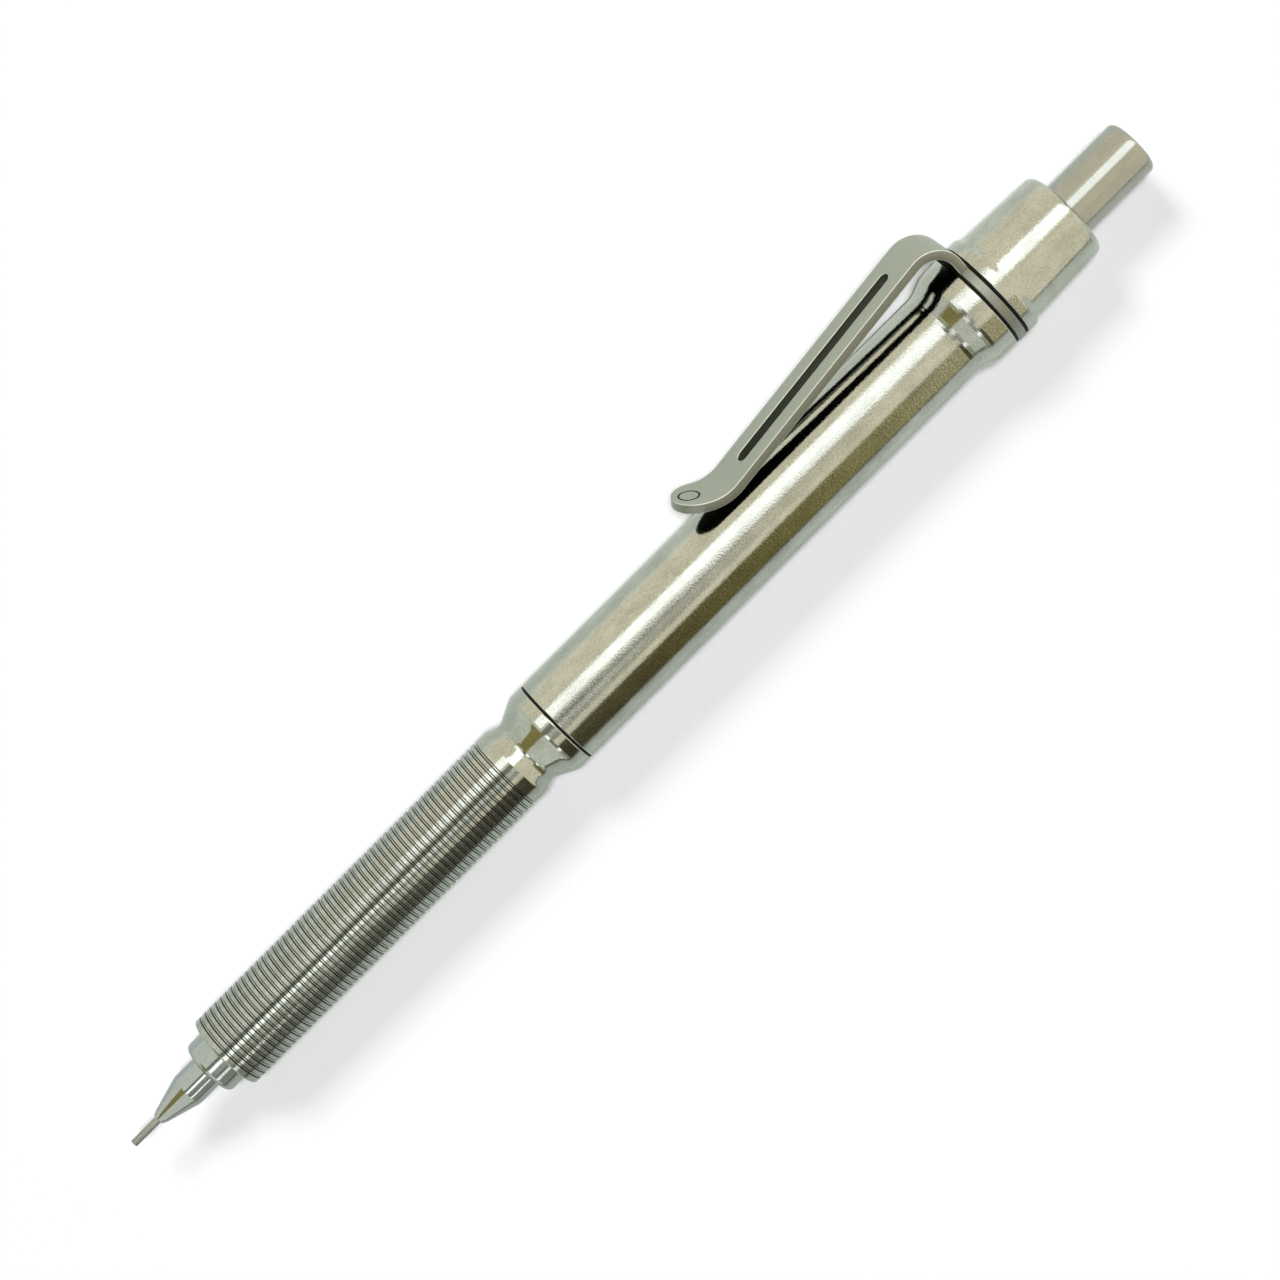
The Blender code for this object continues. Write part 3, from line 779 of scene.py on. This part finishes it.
# The sheet's broken edges, painted pale: a painted highlight along them.
clip_edge_highlight_steel = clip_sheet_steel("sheet_edge_painted_highlight", "#cfd2cb", "#dee1da", 0.4, 0.001)
# The slot's walls, painted dark grey: painted shade in the slot.
clip_slot_wall_shade = clip_sheet_steel("slot_wall_painted_shade", "#454a44", "#5a5f58", 0.5, 0.004)
# The cut sides of the sheet, a little darker than its face.
cut_steel = clip_sheet_steel("cut_sheet_side", "#7d827a", "#989d94", 0.4, 0.006)
# Near black: painted shade on the inner side, under the sheet, and the engraved ring's own dark fill.
clip_shade_and_engraving_black = clip_sheet_steel("painted_inner_shade_and_engraving_black", "#0b0c0b", "#141513", 0.5, 0.002)

clip_bm, pad_start = clip_sheet()
clip = add_piece("clip_strip", clip_bm, blasted_steel)
for extra in (clip_edge_highlight_steel, cut_steel, clip_shade_and_engraving_black, clip_slot_wall_shade):
    clip.data.materials.append(extra)
broken_edges = clip.modifiers.new("broken_edges", "BEVEL")
broken_edges.width = edge_break * MM
broken_edges.segments = 3
broken_edges.limit_method = "ANGLE"
broken_edges.angle_limit = math.radians(50)
# The bevel's faces take the painted edge highlight.
broken_edges.material = 1
broken_edges.use_clamp_overlap = False
apply_modifiers(clip)

ring_corners = [
    (ring_front + 0.03, barrel_bore, 0.06),
    (ring_front + 0.03, 5.8, 0.12),
    (ring_back - 0.03, 5.8, 0.12),
    (ring_back - 0.03, barrel_bore, 0.06),
]
ring_plate = turned("clip_ring_plate", ring_corners, blasted_steel)
for extra in (clip_edge_highlight_steel, cut_steel):
    ring_plate.data.materials.append(extra)
ring_plate.data.polygons.foreach_set("material_index", [2] * len(ring_plate.data.polygons))
combine(clip, ring_plate, "UNION")

mark_place = pad_start[0] + onward(pad_rise) * 1.3 + outward(pad_rise) * sheet / 2
mark_section = [(-0.06, 0.95), (0.2, 0.95), (0.2, 1.15), (-0.06, 1.15)]  # (height, radius) off the pad
mark_sides = 48
mark_bm = bmesh.new()
mark_rings = []
for depth, radius in mark_section:
    ring = []
    for k in range(mark_sides):
        angle = 2 * math.pi * k / mark_sides
        middle = mark_place + outward(pad_rise) * depth + onward(pad_rise) * radius * math.cos(angle)
        ring.append(mark_bm.verts.new(clip_point(middle.x, radius * math.sin(angle), middle.y)))
    mark_rings.append(ring)
for here, there in zip(mark_rings, mark_rings[1:] + mark_rings[:1]):
    for k in range(mark_sides):
        beside = (k + 1) % mark_sides
        mark_bm.faces.new((here[k], here[beside], there[beside], there[k]))
bmesh.ops.recalc_face_normals(mark_bm, faces=mark_bm.faces)
mark = add_piece("clip_mark", mark_bm, blasted_steel)
for extra in (clip_edge_highlight_steel, cut_steel, clip_shade_and_engraving_black):
    mark.data.materials.append(extra)
# The engraving's walls and floor take the near black.
mark.data.polygons.foreach_set("material_index", [3] * len(mark.data.polygons))
combine(clip, mark, "DIFFERENCE")
clip.data.shade_smooth()
clip.data.set_sharp_from_angle(angle=math.radians(32))
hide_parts("clip_ring", "clip_arm")
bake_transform(clip)

# ---------------------------------------------------------------------------------------------------------
# Rear cap.  A stainless turning whose threaded spigot clamps the clip; the button slides through its bore.
# ---------------------------------------------------------------------------------------------------------
cap_front, cap_back, cap_rim = reach("rear_cap")
cap_seat = 120.92
button_front, button_back, button_radius = reach("button")
slider_bore = button_radius + 0.07
rear_cap = turned(
    "rear_cap_turning",
    [
        (cap_front, slider_bore, 0.15),
        (cap_front, spigot_radius, 0.2),
        (cap_seat, spigot_radius, 0),
        (cap_seat, cap_rim, 0.1),
        (cap_seat + 1.15, cap_rim, 0.35),
        (cap_seat + 1.75, 5.47, 0.6),
        (cap_back, 5.09, 0.85),
        (cap_back, slider_bore, 0.12),
    ],
    satin_steel,
    sides=128,
)
fit(rear_cap, "casing", "satin_steel", "rear_cap")

# ---------------------------------------------------------------------------------------------------------
# Button.  A stainless cup, turned from bar and dulled by the thumb, that pushes on over the eraser's
# holder.
# ---------------------------------------------------------------------------------------------------------
# Turned stainless steel dulled by the thumb: a darker, softer grey than the nose, hardly speckled.
thumbed_steel = turned_metal(
    "thumbed_stainless_steel", "#979a93", "#a4a7a0", (0.09, 0.15), (0.05, 0.0012), (0.2, 0.003)
)

button_bore = 2.65
button_floor = button_back - 2.0
button = turned(
    "push_button_cup",
    [
        (button_floor, 0, 0),
        (button_floor, button_bore, 0.3),
        (button_front, button_bore, 0.1),
        (button_front, button_radius, 0.15),
        (button_back, button_radius, 0.62),
        (button_back, 0, 0),
    ],
    thumbed_steel,
    closed=False,
)
fit(button, "push_button", "bright_steel", "button")

# ---------------------------------------------------------------------------------------------------------
# Eraser and its holder.  A white vinyl stick in a drawn steel cup on the end of the lead reservoir; both
# show when the button is pulled off.
# ---------------------------------------------------------------------------------------------------------
holder_front, holder_back, holder_radius = reach("eraser_holder")
eraser_front, eraser_back, eraser_radius = reach("eraser")
cup_floor = eraser_front - 0.05
holder = turned(
    "eraser_cup",
    [
        (holder_front, 2.0, 0.08),
        (holder_front, holder_radius, 0.15),
        (holder_back, holder_radius, 0.12),
        (holder_back, eraser_radius + 0.05, 0.08),
        (cup_floor, eraser_radius + 0.05, 0),
        (cup_floor, 1.4, 0),
        (cup_floor - 0.6, 1.4, 0),
        (cup_floor - 0.6, 2.0, 0),
    ],
    polished_steel,
    sides=64,
)
fit(holder, "feed", "bright_steel", "eraser_holder")


def vinyl_eraser():
    """White vinyl: matte, soft looking, with a light bloom of dust in its skin."""
    material, tree, shader = new_material("white_vinyl")
    bloom = add_node(
        tree,
        "ShaderNodeTexNoise",
        {"Vector": axis_coordinates(tree, 0.5, 0.5)},
        inputs={"Scale": 1.0, "Detail": 4.0},
    )
    tint = add_node(
        tree,
        "ShaderNodeMix",
        {"Factor": bloom.outputs["Fac"]},
        data_type="RGBA",
        inputs={6: colour("#e3e1da"), 7: colour("#f4f3ee")},
    )
    relief = add_node(
        tree,
        "ShaderNodeBump",
        {"Height": bloom.outputs["Fac"]},
        inputs={"Strength": 0.5, "Distance": 0.01 * MM},
    )
    tree.links.new(tint.outputs[2], shader.inputs["Base Color"])
    tree.links.new(relief.outputs["Normal"], shader.inputs["Normal"])
    shader.inputs["Roughness"].default_value = 0.75
    shader.inputs["Subsurface Weight"].default_value = 0.1
    shader.inputs["Subsurface Radius"].default_value = (0.001, 0.0008, 0.0006)
    return material


eraser = turned(
    "eraser_stick",
    [
        (eraser_front, 0, 0),
        (eraser_front, eraser_radius, 0.1),
        (eraser_back, eraser_radius, 0.35),
        (eraser_back, 0, 0),
    ],
    vinyl_eraser(),
    closed=False,
    sides=64,
)
fit(eraser, "rubber", "white_eraser", "eraser")

# ---------------------------------------------------------------------------------------------------------
# Clutch.  A brass guide tube screwed in behind the nose holds the mechanism: a one-piece chuck with three
# jaws, the ring that closes them, and the coupler that joins the chuck to the lead reservoir.
# ---------------------------------------------------------------------------------------------------------
# Free-cutting brass, turned: yellow, fairly bright, with close rings of tool marks.
turned_brass = turned_metal("turned_brass", "#b98a3c", "#d2a75a", (0.15, 0.3), (0.15, 0.001), (0.2, 0.001))

guide_front, guide_back, guide_radius = reach("guide_tube")
guide_bore = 2.1
guide = turned(
    "guide_tube_turning",
    [
        (guide_front, guide_radius, 0.1),
        (guide_back, guide_radius, 0.15),
        (guide_back, guide_bore, 0.1),
        (17.5, guide_bore, 0),
        (17.5, 1.05, 0.05),
        (15.45, 1.05, 0.05),
        (15.45, guide_bore, 0),
        (guide_front, guide_bore, 0.1),
    ],
    turned_brass,
    sides=64,
)
fit(guide, "casing", "brass", "guide_tube")

clutch_front, clutch_back, clutch_radius = reach("clutch_ring")
clutch = turned(
    "clutch_ring_turning",
    [
        (clutch_front, clutch_radius, 0.12),
        (clutch_back, clutch_radius, 0.12),
        (clutch_back, 1.5, 0.1),
        (clutch_front, 1.5, 0.1),
    ],
    turned_brass,
    sides=64,
)
fit(clutch, "clutch", "brass", "clutch_ring")

chuck_front, chuck_back, chuck_radius = reach("chuck")
lead_bore = LEAD_RADIUS + 0.05
chuck = turned(
    "chuck_jaws",
    [
        (chuck_front, lead_bore, 0.03),
        (chuck_front, chuck_radius, 0.15),
        (chuck_front + 0.45, chuck_radius, 0.05),
        (15.4, 0.95, 0.5),
        (22.0, 0.95, 0.1),
        (22.0, 1.2, 0.05),
        (chuck_back, 1.2, 0.1),
        (chuck_back, lead_bore, 0),
    ],
    turned_brass,
    sides=64,
)
for jaw in range(3):
    turn = Matrix.Rotation(2 * math.pi * jaw / 3, 4, "X")
    slot_bm = bmesh.new()
    bmesh.ops.create_cube(slot_bm, size=1)
    bmesh.ops.scale(slot_bm, verts=slot_bm.verts, vec=(9 * MM, 0.2 * MM, 2.4 * MM))
    bmesh.ops.translate(slot_bm, verts=slot_bm.verts, vec=(0, 0, 1.2 * MM))
    bmesh.ops.transform(slot_bm, matrix=turn, verts=slot_bm.verts)
    bmesh.ops.translate(slot_bm, verts=slot_bm.verts, vec=at(chuck_front + 3.5, 0, 0))
    combine(chuck, add_piece("chuck_slot", slot_bm, turned_brass), "DIFFERENCE")
chuck.data.shade_smooth()
chuck.data.set_sharp_from_angle(angle=math.radians(32))
fit(chuck, "feed", "brass", "chuck")

coupler_front, coupler_back, coupler_radius = reach("chuck_coupler")
reservoir_front, reservoir_back, reservoir_radius = reach("reservoir_tube")
reservoir_bore = 1.5
coupler = turned(
    "chuck_coupler_turning",
    [
        (coupler_front, 1.25, 0.05),
        (coupler_front, coupler_radius, 0.1),
        (reservoir_front - 0.05, coupler_radius, 0.1),
        (reservoir_front - 0.05, reservoir_bore - 0.04, 0),
        (coupler_back, reservoir_bore - 0.04, 0.15),
        (coupler_back, 0.8, 0.1),
        (30.3, 0.8, 0),
        (30.3, 1.25, 0),
    ],
    turned_brass,
    sides=64,
)
fit(coupler, "feed", "brass", "chuck_coupler")


# ---------------------------------------------------------------------------------------------------------
# Return spring.  Drawn steel wire wound round the chuck.  Geometry Nodes wind it from its turns and sizes.
# ---------------------------------------------------------------------------------------------------------
def spring_tree():
    """Winds a wire about the +X axis from x = 0, ready to be put in place."""
    sockets = [
        ("Turns", "NodeSocketFloat"),
        ("Points", "NodeSocketInt"),
        ("Length", "NodeSocketFloat"),
        ("Coil Radius", "NodeSocketFloat"),
        ("Wire Radius", "NodeSocketFloat"),
        ("Material", "NodeSocketMaterial"),
    ]
    tree, given, result = start_tree("wound_wire", sockets)
    line = add_node(tree, "GeometryNodeMeshLine", {"Count": given.outputs["Points"]})
    path = add_node(tree, "GeometryNodeMeshToCurve", {"Mesh": line.outputs["Mesh"]})
    part = add_node(tree, "GeometryNodeSplineParameter")
    turns = add_node(
        tree, "ShaderNodeMath", {0: part.outputs["Factor"], 1: given.outputs["Turns"]}, operation="MULTIPLY"
    )
    angle = add_node(
        tree, "ShaderNodeMath", {0: turns.outputs["Value"]}, operation="MULTIPLY", inputs={1: 2 * math.pi}
    )
    along = add_node(
        tree, "ShaderNodeMath", {0: part.outputs["Factor"], 1: given.outputs["Length"]}, operation="MULTIPLY"
    )
    cosine = add_node(tree, "ShaderNodeMath", {0: angle.outputs["Value"]}, operation="COSINE")
    sine = add_node(tree, "ShaderNodeMath", {0: angle.outputs["Value"]}, operation="SINE")
    across = add_node(
        tree,
        "ShaderNodeMath",
        {0: sine.outputs["Value"], 1: given.outputs["Coil Radius"]},
        operation="MULTIPLY",
    )
    up = add_node(
        tree,
        "ShaderNodeMath",
        {0: cosine.outputs["Value"], 1: given.outputs["Coil Radius"]},
        operation="MULTIPLY",
    )
    place = add_node(
        tree,
        "ShaderNodeCombineXYZ",
        {"X": along.outputs["Value"], "Y": across.outputs["Value"], "Z": up.outputs["Value"]},
    )
    wound = add_node(
        tree,
        "GeometryNodeSetPosition",
        {"Geometry": path.outputs["Curve"], "Position": place.outputs["Vector"]},
    )
    section = add_node(
        tree,
        "GeometryNodeCurvePrimitiveCircle",
        {"Radius": given.outputs["Wire Radius"]},
        inputs={"Resolution": 10},
    )
    wire = add_node(
        tree,
        "GeometryNodeCurveToMesh",
        {"Curve": wound.outputs["Geometry"], "Profile Curve": section.outputs["Curve"]},
        inputs={"Fill Caps": True},
    )
    real = add_node(tree, "GeometryNodeRealizeInstances", {"Geometry": wire.outputs["Mesh"]})
    coated = add_node(
        tree,
        "GeometryNodeSetMaterial",
        {"Geometry": real.outputs["Geometry"], "Material": given.outputs["Material"]},
    )
    tree.links.new(coated.outputs["Geometry"], result.inputs["Geometry"])
    return tree


# Drawn spring steel: grey, semi-bright, with its die lines too fine to show.
spring_steel = turned_metal(
    "drawn_spring_steel", "#8d8e92", "#a3a4a8", (0.22, 0.34), (0.2, 0.0006), (0.1, 0.0004)
)

spring_front, spring_back, spring_radius = reach("return_spring")
spring_wire = 0.3
spring = add_piece("return_spring_coil", bmesh.new(), spring_steel)
spring_length = spring_back - spring_front - spring_wire
run_tree(
    spring,
    spring_tree(),
    {
        "Turns": 9.0,
        "Points": 9 * 28 + 1,
        "Length": spring_length * MM,
        "Coil Radius": (spring_radius - spring_wire / 2) * MM,
        "Wire Radius": spring_wire / 2 * MM,
        "Material": spring_steel,
    },
)
spring.data.transform(Matrix.Translation(at(spring_front + spring_wire / 2, 0, 0)))
spring.data.shade_smooth()
fit(spring, "casing", "spring_wire", "return_spring")
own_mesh(spring)

# ---------------------------------------------------------------------------------------------------------
# Lead reservoir and leads.  A milky plastic tube carries the spare leads behind the chuck; the lead in use
# runs from the sleeve's tip back through the chuck.
# ---------------------------------------------------------------------------------------------------------
def milky_plastic():
    """Extruded polypropylene: translucent and milky, with faint long draw lines."""
    material, tree, shader = new_material("milky_polypropylene")
    draws = add_node(
        tree,
        "ShaderNodeTexNoise",
        {"Vector": axis_coordinates(tree, 20.0, 0.3)},
        inputs={"Scale": 1.0, "Detail": 2.0},
    )
    relief = add_node(
        tree,
        "ShaderNodeBump",
        {"Height": draws.outputs["Fac"]},
        inputs={"Strength": 0.4, "Distance": 0.01 * MM},
    )
    tree.links.new(relief.outputs["Normal"], shader.inputs["Normal"])
    shader.inputs["Base Color"].default_value = colour("#dfe4e6")
    shader.inputs["Roughness"].default_value = 0.35
    shader.inputs["Transmission Weight"].default_value = 0.5
    shader.inputs["IOR"].default_value = 1.49
    return material


reservoir = turned(
    "lead_reservoir_tube",
    [
        (reservoir_front, reservoir_radius, 0.05),
        (reservoir_back, reservoir_radius, 0.1),
        (reservoir_back, reservoir_bore, 0.1),
        (reservoir_front, reservoir_bore, 0.05),
    ],
    milky_plastic(),
    sides=64,
)
fit(reservoir, "feed", "clear_plastic", "reservoir_tube")

# Polymer graphite: near black with a soft metallic sheen from the drawn carbon.
graphite = turned_metal("polymer_graphite", "#1c1c1f", "#2a2a2e", (0.35, 0.5), (0.2, 0.0008), (0.1, 0.0008))
graphite.node_tree.nodes["Principled BSDF"].inputs["Metallic"].default_value = 0.4


def lead_rod(name, node, body):
    """A lead in the place of its CAD node, with its ends broken square."""
    low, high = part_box(node)
    middle = (low + high) / 2
    bm = lathe(
        rounded(
            [
                ((low.x - TIP) / MM, 0, 0),
                ((low.x - TIP) / MM, LEAD_RADIUS, 0.02),
                ((high.x - TIP) / MM, LEAD_RADIUS, 0.02),
                ((high.x - TIP) / MM, 0, 0),
            ],
            False,
        ),
        False,
        24,
    )
    bmesh.ops.translate(bm, verts=bm.verts, vec=(0, middle.y - AXIS.y, middle.z - AXIS.z))
    return fit(add_piece(name, bm, graphite), body, "graphite", node)


lead_rod("lead_in_use", "writing_lead", "lead")
for k in (1, 2, 3):
    lead_rod(f"spare_lead_rod_{k}", f"spare_lead_{k}", "feed")

# ---------------------------------------------------------------------------------------------------------
# Table.  A sheet of matte white paper board under the pencil, with painted shade in its reflections.
# ---------------------------------------------------------------------------------------------------------
table_half = 1.5
table_bm = bmesh.new()
bmesh.ops.create_grid(table_bm, x_segments=2, y_segments=2, size=table_half)
bmesh.ops.translate(table_bm, verts=table_bm.verts, vec=(0, 0, -0.05 * MM))
paper, tree, shader = new_material("white_paper_board")
fibres = add_node(
    tree,
    "ShaderNodeTexNoise",
    {"Vector": axis_coordinates(tree, 0.6, 0.6)},
    inputs={"Scale": 1.0, "Detail": 3.0},
)
paper_relief = add_node(
    tree,
    "ShaderNodeBump",
    {"Height": fibres.outputs["Fac"]},
    inputs={"Strength": 0.15, "Distance": 0.01 * MM},
)
tree.links.new(paper_relief.outputs["Normal"], shader.inputs["Normal"])
# Only glossy rays see this: the board is painted darker towards -X and -Y, a painted shade in the metal's
# reflections.
place = add_node(tree, "ShaderNodeTexCoord")
spread = add_node(
    tree,
    "ShaderNodeVectorMath",
    {0: place.outputs["Object"]},
    operation="DOT_PRODUCT",
    inputs={1: (4.0, 6.0, 0.0)},
)
shade = add_node(
    tree, "ShaderNodeMapRange", {"Value": spread.outputs["Value"]}, inputs={"From Min": -1.2, "From Max": 0.6}
)
painted_paper_reflection = add_node(tree, "ShaderNodeValToRGB", {"Fac": shade.outputs["Result"]})
stops = painted_paper_reflection.color_ramp.elements
painted_reflection_shades = [
    (0.2, "#444034"),
    (0.32, "#9a9f9a"),
    (0.45, "#b8bdb9"),
    (0.6, "#cdd3cf"),
    (0.75, "#dadfda"),
    (1.0, "#f0f2ea"),
]
while len(stops) < len(painted_reflection_shades):
    stops.new(1.0)
for stop, (position, code) in zip(stops, painted_reflection_shades):
    stop.position = position
    stop.color = colour(code)
seen = add_node(tree, "ShaderNodeLightPath")
board = add_node(
    tree,
    "ShaderNodeMix",
    {"Factor": seen.outputs["Is Glossy Ray"], 7: painted_paper_reflection.outputs["Color"]},
    data_type="RGBA",
    inputs={6: colour("#e8e9ea")},
)
tree.links.new(board.outputs[2], shader.inputs["Base Color"])
shader.inputs["Roughness"].default_value = 0.7
add_piece("table_top", table_bm, paper)

# ---------------------------------------------------------------------------------------------------------
# Light.  A sun lamp leaned over the clip's side, a second one overhead, and a room that shows only in what
# the metal mirrors: soft boxes, walls and cards along the pencil, each a band on the steel.
# ---------------------------------------------------------------------------------------------------------
def soft_sun(name, lean, spread, strength):
    """A far light, leaned over from straight up towards +Y; its spread in degrees softens the shadow."""
    data = bpy.data.lights.new(name, "SUN")
    data.angle = math.radians(spread)
    data.energy = strength
    lamp = bpy.data.objects.new(name, data)
    bpy.context.scene.collection.objects.link(lamp)
    lamp.rotation_euler.x = -math.radians(lean)
    lamp.visible_glossy = False


soft_sun("key_light", 41.5, 18, 1.4)
soft_sun("top_light", 0, 10, 2.72)

# What stands in the room that the metal mirrors, in the order in which a lamp would be set up.
soft_box = colour("#ffffff")
pale_wall = colour("#a8a8a0")
warm_wall = colour("#b8b0a0")
dark_gap = colour("#606058")
dark_card = colour("#282010")
brown_board = colour("#706840")
grey_floor = colour("#787870")
PANEL_BLUR = 3.0  # degrees over which one panel runs into the next

# Each room is panels from behind the pencil (-180), over it (0) and down its near side, each as the bearing
# in degrees at which it ends and what it is.  The nose stands by a narrow box, the barrel by a wide one.
nose_room = [
    (-8, pale_wall),
    (5, dark_gap),
    (18, soft_box),
    (48, dark_gap),
    (58, soft_box),
    (180, grey_floor),
]
grip_room = [
    (-6, pale_wall),
    (6, dark_gap),
    (17, soft_box),
    (36, pale_wall),
    (62, grey_floor),
    (180, dark_gap),
]
middle_room = [
    (-36, warm_wall),
    (-14, soft_box),
    (-8, warm_wall),
    (6, dark_gap),
    (28, grey_floor),
    (43, warm_wall),
    (92, dark_card),
    (180, grey_floor),
]
rear_room = [(-35, warm_wall), (0, soft_box), (42, warm_wall), (94, brown_board), (180, grey_floor)]
button_room = [(-25, warm_wall), (4, soft_box), (180, warm_wall)]
beyond_tip_room = [(-40, pale_wall), (2, brown_board), (180, pale_wall)]
world = bpy.data.worlds.new("studio_room")
bpy.context.scene.world = world
world.use_nodes = True
tree = world.node_tree
place = add_node(tree, "ShaderNodeTexCoord")
way = add_node(tree, "ShaderNodeSeparateXYZ", {"Vector": place.outputs["Generated"]})
flipped = add_node(tree, "ShaderNodeMath", {0: way.outputs["Y"]}, operation="MULTIPLY", inputs={1: -1.0})
bearing = add_node(
    tree, "ShaderNodeMath", {0: flipped.outputs["Value"], 1: way.outputs["Z"]}, operation="ARCTAN2"
)
share = add_node(
    tree,
    "ShaderNodeMapRange",
    {"Value": bearing.outputs["Value"]},
    inputs={"From Min": -math.pi, "From Max": math.pi},
)


def room_ramp(panels):
    """Colours of the room by the bearing round the pencil's axis."""
    ramp = add_node(tree, "ShaderNodeValToRGB", {"Fac": share.outputs["Result"]})
    stops = ramp.color_ramp.elements
    edges = []
    start = -180
    for end, panel in panels:
        edges.append((start + PANEL_BLUR / 2, panel))
        edges.append((end - PANEL_BLUR / 2, panel))
        start = end
    while len(stops) < len(edges):
        stops.new(1.0)
    for stop, (degrees, panel) in zip(stops, edges):
        stop.position = (degrees + 180) / 360
        stop.color = panel
    return ramp.outputs["Color"]


def cross_fade(low, high, first, second):
    """Fades from one colour to another as the direction's lean along the pencil goes from low to high."""
    lean = add_node(
        tree, "ShaderNodeMapRange", {"Value": way.outputs["X"]}, inputs={"From Min": low, "From Max": high}
    )
    links = {"Factor": lean.outputs["Result"], 6: first, 7: second}
    return add_node(tree, "ShaderNodeMix", links, data_type="RGBA").outputs[2]


beyond_tip = cross_fade(-0.5, -0.35, room_ramp(beyond_tip_room), room_ramp(nose_room))
over_grip = cross_fade(-0.192, -0.186, beyond_tip, room_ramp(grip_room))
front_half = cross_fade(-0.17, -0.06, over_grip, room_ramp(middle_room))
rear_half = cross_fade(-0.05, 0.06, front_half, room_ramp(rear_room))
mirrored = cross_fade(0.1, 0.125, rear_half, room_ramp(button_room))
seen = add_node(tree, "ShaderNodeLightPath")
backdrop = add_node(
    tree,
    "ShaderNodeMix",
    {"Factor": seen.outputs["Is Camera Ray"], 6: mirrored},
    data_type="RGBA",
    inputs={7: colour("#babbbc")},
)
tree.links.new(backdrop.outputs[2], tree.nodes["Background"].inputs["Color"])
tree.nodes["Background"].inputs["Strength"].default_value = 2.5
world.cycles_visibility.diffuse = False

# ---------------------------------------------------------------------------------------------------------
# Camera.  It hangs over the pencil and looks down at it, with the pencil across the frame's diagonal.
# ---------------------------------------------------------------------------------------------------------
camera_data = bpy.data.cameras.new("overhead_camera")
camera_data.lens = 99.0
camera_data.sensor_width = 36.0
camera = bpy.data.objects.new("overhead_camera", camera_data)
bpy.context.scene.collection.objects.link(camera)
eye = at(80.8, 0, 352.0)
aim = at(71.8, -0.15, 0)
back = (eye - aim).normalized()
right = Vector((1, 1, 0)).cross(back).normalized()
up = back.cross(right)
camera.matrix_world = Matrix.Translation(eye) @ Matrix((right, up, back)).transposed().to_4x4()
bpy.context.scene.camera = camera
bpy.context.scene.view_settings.view_transform = "Standard"
